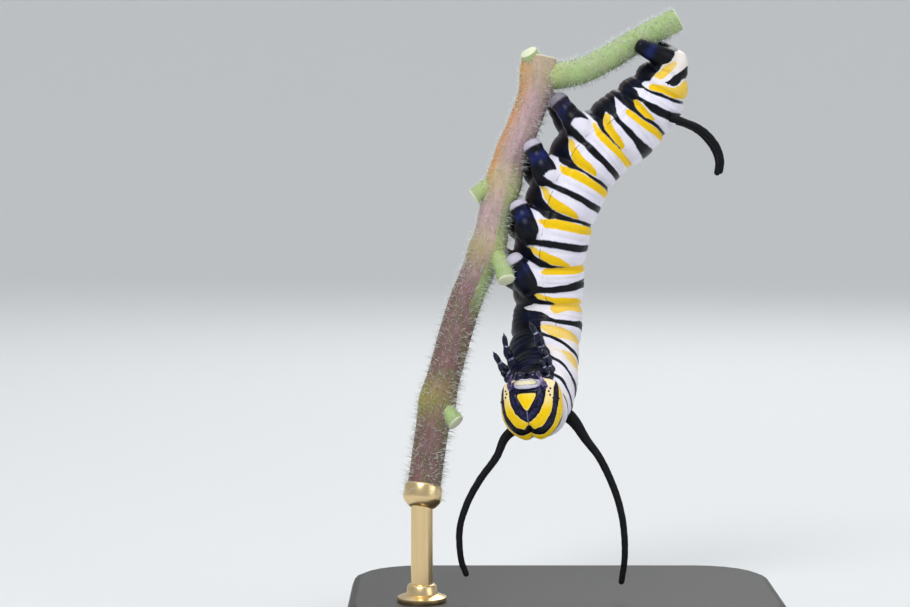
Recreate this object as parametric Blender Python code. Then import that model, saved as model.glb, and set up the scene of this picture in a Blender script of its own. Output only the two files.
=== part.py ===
"""A monarch larva, life size, climbing head down along a cut stem on a display stand.

The pose is laid out in a picture frame, in millimetres: across to the right, up, and deep
away from the viewer. The frame looks down on the stand by VIEW_PITCH. The origin is the
middle of the stand's underside, with Z up and the viewer on the -Y side.
"""
import math

import bmesh
import bpy
import numpy as np
from mathutils import Vector

# Driving dimensions, in millimetres and degrees
MM = 0.001
GAP = 0.25
VIEW_PITCH = math.radians(4.0)
BASE_ACROSS = 6.1
BASE_DEEP = -3.8
BASE_WIDTH = 24.0
BASE_LENGTH = 16.5
BASE_THICKNESS = 2.4
BASE_CORNER = 4.0
BASE_BEVEL = 0.5
BASE_TOP = -15.75
ROD_RADIUS = 0.6
STEM_RADIUS = 0.92
STALK_RADIUS = 0.66
HEAD_HALF_WIDTH = 1.70
HEAD_HALF_HEIGHT = 1.74
HEAD_HALF_DEPTH = 1.30
JAW_POWER = 3.2
JAW_SHARE = 0.22
JAW_LIMIT = 1.5
BODY_SIDES = 28
BODY_RING_STEP = 0.36
FOLD_DEPTH = 0.07
WELD = 0.003

# Middle of each segment, head to tail: place (across, up, deep), radius, and the way
# that the belly faces (across, up, deep)
SEGMENTS = [
    ("T1", (4.40, -5.72, -6.15), 1.80, (-0.20, 0.80, -0.35)),
    ("T2", (4.61, -5.27, -5.33), 1.88, (-0.35, 0.65, -0.60)),
    ("T3", (4.86, -4.41, -3.85), 1.94, (-0.48, 0.45, -0.75)),
    ("A1", (4.95, -3.10, -2.28), 1.98, (-0.65, 0.20, -0.70)),
    ("A2", (5.20, -1.14, -1.24), 1.98, (-0.83, 0.00, -0.55)),
    ("A3", (5.27, 1.04, -1.26), 2.00, (-0.95, 0.00, -0.30)),
    ("A4", (5.44, 3.56, -1.75), 2.08, (-0.98, 0.05, -0.22)),
    ("A5", (6.30, 6.27, -1.78), 2.10, (-0.95, 0.25, -0.19)),
    ("A6", (7.72, 8.54, -1.64), 2.10, (-0.85, 0.45, -0.19)),
    ("A7", (9.70, 10.09, -1.58), 2.08, (-0.80, 0.55, -0.19)),
    ("A8", (11.13, 11.57, -1.68), 1.86, (-0.78, 0.58, -0.17)),
    ("A9", (11.78, 12.72, -1.90), 1.49, (-0.75, 0.60, -0.15)),
    ("A10", (12.22, 13.55, -2.19), 1.02, (-0.70, 0.70, -0.15)),
]
HEAD_CENTRE = (4.17, -5.71, -7.45)
HEAD_FORWARD = (-0.26, 0.00, -0.96)
HEAD_CROWN = (0.08, -1.00, 0.00)

# Places that the perch passes through, top to bottom and root to cut end
STEM_PATH = [
    (4.78, 13.85, -2.0), (4.44, 11.66, -2.1), (3.88, 10.09, -2.1), (3.14, 8.34, -2.2),
    (2.69, 6.65, -2.3), (2.24, 4.96, -2.4), (1.90, 3.28, -2.5), (1.34, 1.87, -2.7),
    (0.67, 0.31, -3.2), (0.06, -1.58, -3.8), (-0.44, -3.40, -4.4), (-0.88, -5.03, -5.0),
    (-1.21, -6.66, -5.5), (-1.53, -8.82, -6.1), (-1.80, -10.69, -6.6),
]
STALK_PATH = [
    (5.30, 12.72, -2.10), (6.70, 12.92, -2.15), (8.30, 13.60, -2.20), (9.80, 14.50, -2.20),
    (11.15, 15.25, -2.20), (12.50, 15.95, -2.20),
]
LEAF_STUBS = {
    "upper": [(2.60, 6.70, -2.3), (2.10, 6.60, -2.35), (1.66, 6.38, -2.4), (1.10, 5.98, -2.4)],
    "middle": [(1.75, 3.00, -2.5), (2.20, 2.70, -2.9), (2.60, 2.10, -3.4), (2.85, 1.30, -3.9)],
    "lower": [(-1.20, -5.40, -5.1), (-0.85, -5.65, -5.4), (-0.45, -5.96, -5.7), (0.05, -6.50, -6.0)],
    "top": [(4.85, 13.10, -2.0), (4.45, 13.50, -2.3), (4.10, 14.05, -2.6)],
}
FRONT_FILAMENTS = {
    "right": [
        (5.45, -5.72, -5.2), (6.48, -6.13, -5.25), (7.18, -7.45, -5.5), (7.88, -8.40, -5.8),
        (8.41, -9.45, -6.0), (8.83, -10.55, -6.2), (9.10, -11.63, -6.3), (9.23, -12.77, -6.4),
        (9.23, -13.91, -6.4), (9.07, -15.15, -6.3),
    ],
    "left": [
        (4.25, -5.85, -4.7), (3.55, -6.70, -4.3), (2.76, -7.42, -4.6), (2.31, -8.39, -5.0),
        (1.40, -9.62, -5.4), (0.63, -11.02, -5.7), (0.27, -12.24, -5.9), (0.25, -13.29, -6.0),
        (0.38, -14.16, -6.0), (0.60, -14.75, -6.0),
    ],
}
REAR_FILAMENTS = {
    "right": [
        (11.45, 10.85, -2.2), (12.13, 10.37, -2.75), (12.72, 10.13, -3.0), (13.63, 9.73, -3.2),
        (14.31, 9.11, -3.3), (14.68, 8.49, -3.3), (14.81, 7.88, -3.3), (14.76, 7.38, -3.2),
    ],
    "left": [
        (11.35, 10.80, -0.9), (11.95, 10.50, -0.3), (12.85, 10.35, 0.2), (13.85, 9.92, 0.5),
        (14.55, 9.27, 0.7), (14.95, 8.62, 0.8), (15.08, 8.00, 0.8), (15.02, 7.50, 0.8),
    ],
}
# Where the feet of the prolegs hold the stem (across, up, deep), near side, A3 to A6
FEET = {
    "A3": (3.22, 2.50, -3.4),
    "A4": (3.50, 5.50, -3.3),
    "A5": (4.25, 8.85, -3.25),
    "A6": (5.70, 11.40, -3.1),
}
FOOT_SPREAD = 1.0
CLASPER_SPREAD = 0.75
# Each pair of thoracic legs: segment, place along it, angle between a root and the belly's
# middle, radius at the root, and the tips of the right and the left leg (out from the skin,
# to the side, towards the head)
LEGS = {
    "front": ("T1", 0.95, 36.0, 0.34, (0.90, 0.85, 0.00), (0.60, 1.40, 0.10)),
    "middle": ("T2", 0.60, 40.0, 0.37, (0.90, 1.10, -0.10), (1.45, 1.50, 0.00)),
    "rear": ("T3", 0.50, 35.0, 0.36, (1.50, 0.95, -0.90), (1.40, 0.70, -0.90)),
}
LEG_END_RADIUS = 0.11

COLOURS = {
    "skin": (0.78, 0.76, 0.86, 1.0),
    "horn": (0.012, 0.012, 0.03, 1.0),
    "velvet": (0.008, 0.008, 0.012, 1.0),
    "stem": (0.42, 0.28, 0.25, 1.0),
    "base": (0.05, 0.045, 0.04, 1.0),
    "rod": (0.55, 0.52, 0.46, 1.0),
}


def clear_scene():
    for item in list(bpy.data.objects):
        bpy.data.objects.remove(item, do_unlink=True)


def to_world(place):
    """A place in the picture frame, in world millimetres."""
    across, up, deep = np.moveaxis(np.asarray(place, float), -1, 0)
    east = across - BASE_ACROSS
    north = up * math.sin(VIEW_PITCH) + deep * math.cos(VIEW_PITCH) - BASE_DEEP
    height = up * math.cos(VIEW_PITCH) - deep * math.sin(VIEW_PITCH) - BASE_TOP + BASE_THICKNESS
    return np.stack([east, north, height], axis=-1)


def turn_to_world(direction):
    """A direction in the picture frame, as a world direction of length 1."""
    turned = to_world(direction) - to_world((0.0, 0.0, 0.0))
    return turned / np.linalg.norm(turned, axis=-1, keepdims=True)


def unit(vectors):
    return vectors / np.linalg.norm(vectors, axis=-1, keepdims=True)


def smooth_through(knots, values, at):
    """A smooth curve through the values, read at the places asked for."""
    values = np.asarray(values, float)
    slope = np.gradient(values, knots, axis=0)
    left = np.clip(np.searchsorted(knots, at) - 1, 0, len(knots) - 2)
    step = knots[left + 1] - knots[left]
    t = (at - knots[left]) / step
    if values.ndim > 1:
        t = t[:, None]
        step = step[:, None]
    start = 2 * t**3 - 3 * t**2 + 1
    start_slope = t**3 - 2 * t**2 + t
    end_slope = t**3 - t**2
    value = start * values[left] + (1 - start) * values[left + 1]
    return value + step * (start_slope * slope[left] + end_slope * slope[left + 1])


def lengths_along(points):
    return np.concatenate([[0.0], np.cumsum(np.linalg.norm(np.diff(points, axis=0), axis=1))])


def resample(path, count):
    """The path as a smooth curve of evenly spaced world points."""
    points = to_world(path)
    knots = lengths_along(points)
    fine = smooth_through(knots, points, np.linspace(0, knots[-1], 400))
    run = lengths_along(fine)
    even = np.linspace(0, run[-1], count)
    return np.stack([np.interp(even, run, fine[:, axis]) for axis in range(3)], axis=1)


class BodyAxis:
    """The line down the middle of the body, with its radius and the way the belly faces."""

    def __init__(self):
        self.names = [name for name, *_ in SEGMENTS]
        self.places = to_world([place for _, place, _, _ in SEGMENTS])
        self.knots = lengths_along(self.places)
        self.radii = np.array([radius for *_, radius, _ in SEGMENTS])
        self.bellies = turn_to_world([belly for *_, belly in SEGMENTS])
        middles = (self.knots[1:] + self.knots[:-1]) / 2
        self.folds = np.concatenate([[self.knots[0] - 0.55], middles, [self.knots[-1] + 0.85]])

    def at(self, run):
        """Centre, headward direction, belly direction, right-hand direction and radius."""
        run = np.atleast_1d(np.asarray(run, float))
        inside = np.clip(run, self.knots[0], self.knots[-1])
        centre = smooth_through(self.knots, self.places, inside)
        ahead = smooth_through(self.knots, self.places, np.clip(inside - 0.05, self.knots[0], None))
        behind = smooth_through(self.knots, self.places, np.clip(inside + 0.05, None, self.knots[-1]))
        headward = unit(ahead - behind)
        centre = centre - headward * (run - inside)[:, None]
        belly = smooth_through(self.knots, self.bellies, inside)
        belly = unit(belly - (belly * headward).sum(1)[:, None] * headward)
        side = np.cross(belly, headward)
        radius = smooth_through(self.knots, self.radii, inside)
        return centre, headward, belly, side, radius

    def profile(self, run, radius):
        """The radius with a shallow fold between segments and a rounded tail."""
        nearest = np.abs(run[:, None] - self.folds[None, 1:-1]).min(axis=1)
        folded = radius * (1 - FOLD_DEPTH * np.exp(-((nearest / 0.28) ** 2)))
        past = np.clip((run - (self.folds[-1] - 1.3)) / 1.3, 0, 0.97)
        return folded * np.sqrt(1 - past**2)

    def fold(self, name, side):
        """Where the fold before (-1) or after (+1) a segment lies."""
        number = self.names.index(name)
        return self.folds[number] if side < 0 else self.folds[number + 1]

    def point_at(self, name, share):
        """The place along a segment, 0 at its front fold and 1 at its rear one."""
        front = self.fold(name, -1)
        return front + share * (self.fold(name, 1) - front)


def make_material(name):
    material = bpy.data.materials.get(name)
    if material is None:
        material = bpy.data.materials.new(name)
        material.use_nodes = True
        shader = material.node_tree.nodes["Principled BSDF"]
        shader.inputs["Base Color"].default_value = COLOURS[name]
        shader.inputs["Roughness"].default_value = 0.3 if name in ("horn", "rod") else 0.5
        shader.inputs["Metallic"].default_value = 1.0 if name == "rod" else 0.0
    return material


def add_object(name, mesh, material, helper=False):
    item = bpy.data.objects.new(name, mesh)
    bpy.context.scene.collection.objects.link(item)
    if helper:
        item.hide_render = True
        item.display_type = "WIRE"
    else:
        mesh.materials.append(make_material(material))
        mesh.shade_smooth()
    return item


def close_and_face_out(work):
    bmesh.ops.recalc_face_normals(work, faces=work.faces)
    if work.calc_volume(signed=True) < 0:
        bmesh.ops.reverse_faces(work, faces=work.faces)


def rings_to_mesh(name, rings, first_tip, last_tip):
    """A closed mesh through rings of points, in millimetres, with a tip at each end."""
    work = bmesh.new()
    rows = [[work.verts.new(Vector(point) * MM) for point in ring] for ring in rings]
    for one, two in zip(rows[:-1], rows[1:]):
        for corner in range(len(one)):
            following = (corner + 1) % len(one)
            work.faces.new((one[corner], one[following], two[following], two[corner]))
    for row, tip in ((rows[0], first_tip), (rows[-1], last_tip)):
        point = work.verts.new(Vector(tip) * MM)
        for corner in range(len(row)):
            work.faces.new((row[corner], row[(corner + 1) % len(row)], point))
    close_and_face_out(work)
    mesh = bpy.data.meshes.new(name)
    work.to_mesh(mesh)
    work.free()
    return mesh


def carry_across(points):
    """A sideways direction at each point that turns no more than the path does."""
    along = unit(np.gradient(points, axis=0))
    guess = np.array([0.0, -1.0, 0.0]) if abs(along[0][1]) < 0.8 else np.array([1.0, 0.0, 0.0])
    across = []
    for direction in along:
        guess = guess - guess.dot(direction) * direction
        guess = guess / np.linalg.norm(guess)
        across.append(guess)
    return along, np.array(across)


def tube_mesh(name, points, radii, sides, domes=(0.0, 1.0), flatten=1.0):
    """A round rod along world points. A dome of 1 ends it in a half ball, of 0 flat."""
    along, across = carry_across(points)
    radii = np.broadcast_to(radii, (len(points),)).astype(float)
    places = list(points)
    sizes = list(radii)
    ways = list(along)
    sideways = list(across)
    tips = [points[0].copy(), points[-1].copy()]
    for end, dome in ((0, domes[0]), (1, domes[1])):
        if not dome:
            continue
        outward = along[-1] if end else -along[0]
        root, size, side = (points[-1], radii[-1], across[-1]) if end else (points[0], radii[0], across[0])
        for angle in (math.radians(35), math.radians(65)):
            place = root + outward * size * dome * math.sin(angle)
            spot = len(places) if end else 0
            places.insert(spot, place)
            sizes.insert(spot, size * math.cos(angle))
            ways.insert(spot, along[-1] if end else along[0])
            sideways.insert(spot, side)
        tips[end] = root + outward * size * dome
    turns = np.linspace(0, 2 * math.pi, sides, endpoint=False)
    rings = []
    for place, size, way, side in zip(places, sizes, ways, sideways):
        other = np.cross(way, side)
        rings.append([
            place + size * (math.cos(turn) * side + flatten * math.sin(turn) * other) for turn in turns
        ])
    return rings_to_mesh(name, rings, tips[0], tips[1])


def body_mesh(name, axis, start, end, grow=0.0, sides=BODY_SIDES):
    """A length of the body, between two places on its axis, grown by a clearance."""
    count = max(4, int(round((end - start) / BODY_RING_STEP)) + 1)
    run = np.linspace(start, end, count)
    centre, headward, belly, side, radius = axis.at(run)
    radius = axis.profile(run, radius) + grow
    turns = np.linspace(0, 2 * math.pi, sides, endpoint=False)
    rings = []
    for spot in range(count):
        rings.append([
            centre[spot] + radius[spot] * (math.cos(turn) * side[spot] + math.sin(turn) * belly[spot])
            for turn in turns
        ])
    return rings_to_mesh(name, rings, centre[0], centre[-1])


def cut(item, *cutters):
    """Leaves the item clear of each cutter."""
    for cutter in cutters:
        modifier = item.modifiers.new("clear_of_" + cutter.name, "BOOLEAN")
        modifier.operation = "DIFFERENCE"
        modifier.object = cutter
        modifier.solver = "EXACT"


def keep_largest(mesh):
    """Drops all but the largest closed surface, and closes cracks thinner than WELD."""
    work = bmesh.new()
    work.from_mesh(mesh)
    bmesh.ops.remove_doubles(work, verts=work.verts, dist=WELD * MM)
    bmesh.ops.dissolve_degenerate(work, edges=work.edges, dist=WELD * MM)
    left = set(work.faces)
    groups = []
    while left:
        seed = left.pop()
        group = [seed]
        waiting = [seed]
        while waiting:
            face = waiting.pop()
            for edge in face.edges:
                for other in edge.link_faces:
                    if other in left:
                        left.remove(other)
                        group.append(other)
                        waiting.append(other)
        groups.append(group)
    groups.sort(key=lambda group: sum(face.calc_area() for face in group))
    for group in groups[:-1]:
        bmesh.ops.delete(work, geom=group, context="FACES")
    work.to_mesh(mesh)
    work.free()


def settle(item):
    """Applies the item's modifiers and keeps its largest closed surface."""
    bpy.context.view_layer.update()
    graph = bpy.context.evaluated_depsgraph_get()
    made = bpy.data.meshes.new_from_object(item.evaluated_get(graph))
    item.modifiers.clear()
    keep_largest(made)
    old = item.data
    item.data = made
    bpy.data.meshes.remove(old)


def fuse(name, meshes, material, cutters=()):
    """One closed body from closed meshes that overlap, clear of each cutter."""
    pieces = bpy.data.collections.new(name + "_pieces")
    bpy.context.scene.collection.children.link(pieces)
    main = add_object(name, meshes[0], material)
    for mesh in meshes[1:]:
        piece = bpy.data.objects.new(mesh.name, mesh)
        pieces.objects.link(piece)
    modifier = main.modifiers.new("joined", "BOOLEAN")
    modifier.operation = "UNION"
    modifier.operand_type = "COLLECTION"
    modifier.collection = pieces
    modifier.solver = "EXACT"
    cut(main, *cutters)
    settle(main)
    for piece in list(pieces.objects):
        bpy.data.objects.remove(piece, do_unlink=True)
    bpy.data.collections.remove(pieces)
    main.data.shade_smooth()
    return main


def blob_mesh(name, centre, half_sizes, frame, around=16, down=10):
    """An egg-shaped lump with its own three directions."""
    rings = []
    for row in range(1, down):
        slope = math.pi * row / down
        ring = []
        for turn in np.linspace(0, 2 * math.pi, around, endpoint=False):
            flat = math.sin(slope)
            local = (flat * math.cos(turn), flat * math.sin(turn), math.cos(slope))
            ring.append(centre + sum(local[i] * half_sizes[i] * frame[i] for i in range(3)))
        rings.append(ring)
    return rings_to_mesh(name, rings, centre + half_sizes[2] * frame[2], centre - half_sizes[2] * frame[2])


def head_frame():
    """Centre of the head, with its right-hand, forward and crown directions."""
    forward = turn_to_world(HEAD_FORWARD)
    crown = turn_to_world(HEAD_CROWN)
    crown = unit(crown - crown.dot(forward) * forward)
    return to_world(HEAD_CENTRE), np.cross(forward, crown), forward, crown


def jaw_widening(height):
    """How much wider than an egg the capsule is, from 1 over the crown to the square jaws."""
    if height > -0.01:
        return 1.0
    square = (1 - abs(height) ** JAW_POWER) ** JAW_SHARE
    return min(JAW_LIMIT, square / math.sqrt(1 - height**2))


def head_capsule_mesh(grow=0.0, around=36, down=22):
    """Two round cheeks that meet at a shallow groove over the crown, square at the jaws."""
    centre, side, forward, crown = head_frame()
    rings = []
    for row in range(1, down):
        slope = math.pi * row / down
        ring = []
        for turn in np.linspace(0, 2 * math.pi, around, endpoint=False):
            x = math.sin(slope) * math.cos(turn)
            y = math.sin(slope) * math.sin(turn)
            z = math.cos(slope)
            groove = 1 - 0.10 * math.exp(-((x / 0.16) ** 2)) * max(0.0, z) ** 1.5
            width = jaw_widening(z)
            ring.append(
                centre
                + side * (HEAD_HALF_WIDTH + grow) * width * x
                + forward * (HEAD_HALF_DEPTH + grow) * y * groove
                + crown * (HEAD_HALF_HEIGHT + grow) * z * groove
            )
        rings.append(ring)
    crown_tip = centre + crown * (HEAD_HALF_HEIGHT + grow) * 0.90
    mouth_tip = centre - crown * (HEAD_HALF_HEIGHT + grow)
    return rings_to_mesh("head_capsule", rings, crown_tip, mouth_tip)


def cheek(ahead, up):
    """How far the capsule reaches to the side, at a place ahead of and above its middle."""
    deep = ahead / HEAD_HALF_DEPTH
    high = up / HEAD_HALF_HEIGHT
    return HEAD_HALF_WIDTH * jaw_widening(high) * math.sqrt(1 - deep**2 - high**2)


def build_head(cutters):
    centre, side, forward, crown = head_frame()
    own = (side, forward, crown)

    def at(right, ahead, up):
        return centre + side * right + forward * ahead + crown * up

    meshes = [head_capsule_mesh()]
    meshes.append(blob_mesh("labrum", at(0, 0.92, -1.39), (0.78, 0.40, 0.36), own))
    meshes.append(blob_mesh("labium", at(0, 0.38, -1.69), (0.62, 0.42, 0.34), own))
    for hand in (-1, 1):
        meshes.append(blob_mesh("mandible", at(hand * 0.36, 0.72, -1.74), (0.40, 0.40, 0.32), own))
        meshes.append(blob_mesh("maxilla", at(hand * 0.50, 0.30, -1.75), (0.26, 0.34, 0.36), own, 12, 8))
        feeler = np.array([at(hand * 0.98, 0.66, -1.18), at(hand * 0.90, 1.00, -1.52), at(hand * 0.70, 1.22, -1.92)])
        meshes.append(tube_mesh("antenna", feeler, np.array([0.20, 0.15, 0.09]), 10))
        for number in range(6):
            turn = math.radians(28 + 36 * number)
            ahead = 0.50 + 0.28 * math.sin(turn)
            up = -0.78 - 0.32 * math.cos(turn)
            meshes.append(blob_mesh("eyelet", at(hand * cheek(ahead, up), ahead, up), (0.12, 0.12, 0.12), own, 8, 6))
    return fuse("head", meshes, "horn", cutters)


def build_legs(axis, cutters):
    for row, (segment, share_along, angle, thick, right_tip, left_tip) in LEGS.items():
        run = axis.point_at(segment, share_along)
        centre, headward, belly, side, radius = (value[0] for value in axis.at(run))
        for hand, name, (reach, aside, lean) in ((-1, "left", left_tip), (1, "right", right_tip)):
            spread = math.radians(angle)
            outward = math.cos(spread) * belly + hand * math.sin(spread) * side
            root = centre + outward * radius * 0.85
            tip = centre + belly * (radius + reach) + side * hand * aside + headward * lean
            knee = (root + tip) / 2 + outward * 0.18
            path = resample_world(np.array([root, knee, tip]), 13)
            share = np.linspace(0, 1, 13)
            joints = 1 - 0.13 * np.cos(share * 3 * 2 * math.pi)
            radii = np.maximum(LEG_END_RADIUS, (thick + (LEG_END_RADIUS - thick) * share) * joints)
            leg = add_object(f"leg_{row}_{name}", tube_mesh("leg", path, radii, 12), "horn")
            cut(leg, *cutters)
            settle(leg)


def build_prolegs(axis, cutters):
    for segment, foot in FEET.items():
        run = axis.point_at(segment, 0.60)
        centre, headward, belly, side, radius = (value[0] for value in axis.at(run))
        near = to_world(foot)
        for hand, name in ((-1, "left"), (1, "right")):
            spread = math.radians(36)
            outward = math.cos(spread) * belly + hand * math.sin(spread) * side
            root = centre + outward * radius * 0.62
            middle = centre + outward * radius * 1.02
            grip = near if hand > 0 else near - 2 * FOOT_SPREAD * side
            points = np.array([root, middle, (middle + grip) / 2 + 0.1 * hand * side, grip])
            knots = lengths_along(points)
            run_along = np.linspace(0, knots[-1], 9)
            share = run_along / knots[-1]
            path = smooth_through(knots, points, run_along)
            radii = 0.88 - 0.42 * share**1.2 + 0.09 * np.exp(-(((share - 0.95) / 0.1) ** 2))
            proleg = add_object(
                f"proleg_{segment[1:]}_{name}", tube_mesh("proleg", path, radii, 16, (0.0, 0.55)), "horn"
            )
            cut(proleg, *cutters)
            settle(proleg)


def build_claspers(axis, cutters):
    run = axis.point_at("A10", 0.45)
    centre, headward, belly, side, radius = (value[0] for value in axis.at(run))
    for hand, name in ((-1, "left"), (1, "right")):
        root = centre + belly * radius * 0.25 + side * hand * 0.45
        middle = centre + belly * radius * 1.15 + side * hand * 0.85
        grip = centre + belly * (radius + 1.15) + side * hand * CLASPER_SPREAD * 1.25
        path = resample_world(np.array([root, middle, grip]), 8)
        share = np.linspace(0, 1, 8)
        clasper = add_object(
            f"clasper_{name}", tube_mesh("clasper", path, 0.66 - 0.22 * share, 16, (0.0, 0.55)), "horn"
        )
        cut(clasper, *cutters)
        settle(clasper)


def resample_world(points, count):
    knots = lengths_along(points)
    return smooth_through(knots, points, np.linspace(0, knots[-1], count))


def build_filaments(cutters):
    for place, paths, root, shank, tip in (
        ("front", FRONT_FILAMENTS, 0.44, 0.25, 0.18),
        ("rear", REAR_FILAMENTS, 0.34, 0.25, 0.19),
    ):
        for name, path in paths.items():
            count = 26 if place == "front" else 18
            share = np.linspace(0, 1, count)
            radii = shank + (tip - shank) * share + (root - shank) * np.exp(-((share / 0.17) ** 2))
            item = add_object(
                f"filament_{place}_{name}", tube_mesh("filament", resample(path, count), radii, 10), "velvet"
            )
            cut(item, *cutters)
            settle(item)


def stem_radii(count):
    """The stem's thickness, swollen a little where leaves grew."""
    points = resample(STEM_PATH, count)
    radii = np.full(count, STEM_RADIUS)
    for path in LEAF_STUBS.values():
        root = to_world(path[0])
        away = np.linalg.norm(points - root, axis=1)
        radii += 0.14 * np.exp(-((away / 0.9) ** 2))
    return points, radii


def stem_meshes(grow=0.0):
    points, radii = stem_radii(34)
    if grow:
        ends = unit(points[[0, -1]] - points[[1, -2]])
        points = np.concatenate([[points[0] + grow * ends[0]], points, [points[-1] + grow * ends[1]]])
        radii = np.concatenate([[radii[0]], radii, [radii[-1]]])
    meshes = [tube_mesh("stem", points, radii + grow, 18, (0.0, 0.0))]
    for name, path in LEAF_STUBS.items():
        count = 7
        share = np.linspace(0, 1, count)
        size = 0.50 + 0.22 * np.exp(-((share / 0.3) ** 2))
        meshes.append(tube_mesh("stub_" + name, resample(path, count), size + grow, 12, (0.0, 0.25)))
    return meshes


def stalk_mesh(grow=0.0):
    points = resample(STALK_PATH, 16)
    share = np.linspace(0, 1, 16)
    if grow:
        ends = unit(points[[0, -1]] - points[[1, -2]])
        points = np.concatenate([[points[0] + grow * ends[0]], points, [points[-1] + grow * ends[1]]])
        share = np.concatenate([[0.0], share, [1.0]])
    return tube_mesh("stalk", points, STALK_RADIUS + 0.10 * (1 - share) + grow, 14, (0.0, 0.0))


def build_stand(stem_cutter):
    work = bmesh.new()
    steps = 6
    outline = []
    for corner, (east, north) in enumerate(((1, 1), (-1, 1), (-1, -1), (1, -1))):
        middle = (east * (BASE_WIDTH / 2 - BASE_CORNER), north * (BASE_LENGTH / 2 - BASE_CORNER))
        for step in range(steps + 1):
            turn = math.radians(90 * corner + 90 * step / steps)
            outline.append((middle[0] + BASE_CORNER * math.cos(turn), middle[1] + BASE_CORNER * math.sin(turn)))
    bottom = [work.verts.new(Vector((x, y, 0)) * MM) for x, y in outline]
    face = work.faces.new(bottom)
    lifted = bmesh.ops.extrude_face_region(work, geom=[face])
    moved = [part for part in lifted["geom"] if isinstance(part, bmesh.types.BMVert)]
    bmesh.ops.translate(work, verts=moved, vec=(0, 0, BASE_THICKNESS * MM))
    close_and_face_out(work)
    mesh = bpy.data.meshes.new("stand_base")
    work.to_mesh(mesh)
    work.free()
    base = add_object("stand_base", mesh, "base")
    bevel = base.modifiers.new("soft_edges", "BEVEL")
    bevel.width = BASE_BEVEL * MM
    bevel.segments = 2
    bevel.limit_method = "ANGLE"
    bevel.angle_limit = math.radians(60)
    base.data.set_sharp_from_angle(angle=math.radians(40))

    foot = to_world(STEM_PATH[-1])
    heights = np.linspace(BASE_THICKNESS + GAP, foot[2] + 0.4, 6)
    path = np.array([(foot[0], foot[1], height) for height in heights])
    rod = add_object("stand_rod", tube_mesh("stand_rod", path, ROD_RADIUS, 20, (0.0, 0.0)), "rod")
    cut(rod, stem_cutter)
    settle(rod)


def build():
    clear_scene()
    axis = BodyAxis()
    body_cutter = add_object(
        "body_clearance", body_mesh("body_clearance", axis, axis.folds[0] - GAP, axis.folds[-1], GAP), None, True
    )
    stem = fuse("perch_stem", stem_meshes(), "stem")
    stem_cutter = fuse("stem_clearance", stem_meshes(GAP), "stem")
    stem_cutter.hide_render = True
    stem_cutter.display_type = "WIRE"
    stalk_cutter = add_object("stalk_clearance", stalk_mesh(GAP), None, True)
    stalk = add_object("perch_stalk", stalk_mesh(), "stem")
    cut(stalk, stem_cutter)
    settle(stalk)

    lengths = (
        ("thorax", axis.folds[0], axis.fold("T3", 1)),
        ("abdomen_front", axis.fold("A1", -1), axis.fold("A2", 1)),
        ("abdomen_middle", axis.fold("A3", -1), axis.fold("A6", 1)),
        ("abdomen_rear", axis.fold("A7", -1), axis.folds[-1]),
    )
    for name, start, end in lengths:
        first = start if name == "thorax" else start + GAP / 2
        last = end if name == "abdomen_rear" else end - GAP / 2
        add_object(name, body_mesh(name, axis, first, last), "skin")

    neck_cutter = add_object(
        "neck_clearance", body_mesh("neck_clearance", axis, axis.folds[0] - GAP, axis.folds[3], GAP), None, True
    )
    head = build_head((neck_cutter,))
    head_cutter = add_object("head_clearance", head_capsule_mesh(GAP), None, True)
    build_legs(axis, (body_cutter, stem_cutter, head_cutter))
    build_prolegs(axis, (body_cutter, stem_cutter))
    build_claspers(axis, (body_cutter, stalk_cutter))
    build_filaments((body_cutter, head_cutter))
    build_stand(stem_cutter)
    return head, stem


build()
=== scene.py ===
"""The looks of a monarch larva, life size, on a cut stem and a display stand.

Lengths are in millimetres until a mesh is made. The pose is laid out as in the part's own
source, in a picture frame: across to the right, up, and deep away from the viewer, who looks
down by VIEW_PITCH.
"""
import math

import bmesh
import bpy
import numpy as np
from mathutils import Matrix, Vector, noise


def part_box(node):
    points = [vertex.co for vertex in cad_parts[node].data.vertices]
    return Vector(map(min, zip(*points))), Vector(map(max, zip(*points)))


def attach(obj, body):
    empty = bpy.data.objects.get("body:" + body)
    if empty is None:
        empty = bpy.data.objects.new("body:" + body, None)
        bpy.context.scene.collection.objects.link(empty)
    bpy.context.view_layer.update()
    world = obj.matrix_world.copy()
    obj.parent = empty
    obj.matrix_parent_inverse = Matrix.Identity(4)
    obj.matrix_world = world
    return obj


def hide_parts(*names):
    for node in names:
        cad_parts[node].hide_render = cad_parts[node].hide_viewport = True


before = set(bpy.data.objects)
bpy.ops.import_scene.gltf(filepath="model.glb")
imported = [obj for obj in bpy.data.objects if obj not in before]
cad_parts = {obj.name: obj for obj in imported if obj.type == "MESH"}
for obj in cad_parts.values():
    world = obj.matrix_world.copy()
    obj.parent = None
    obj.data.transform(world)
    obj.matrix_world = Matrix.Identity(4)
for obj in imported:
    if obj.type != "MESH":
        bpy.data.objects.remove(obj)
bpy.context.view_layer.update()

MM = 0.001
VIEW_PITCH = math.radians(4.0)
VIEW_DISTANCE = 144.0
LENS = 100.0
SENSOR = 36.0
BASE_ACROSS = 6.1
BASE_DEEP = -3.8
BASE_TOP = -15.75
BASE_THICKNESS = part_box("stand_base")[1].z / MM

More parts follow.
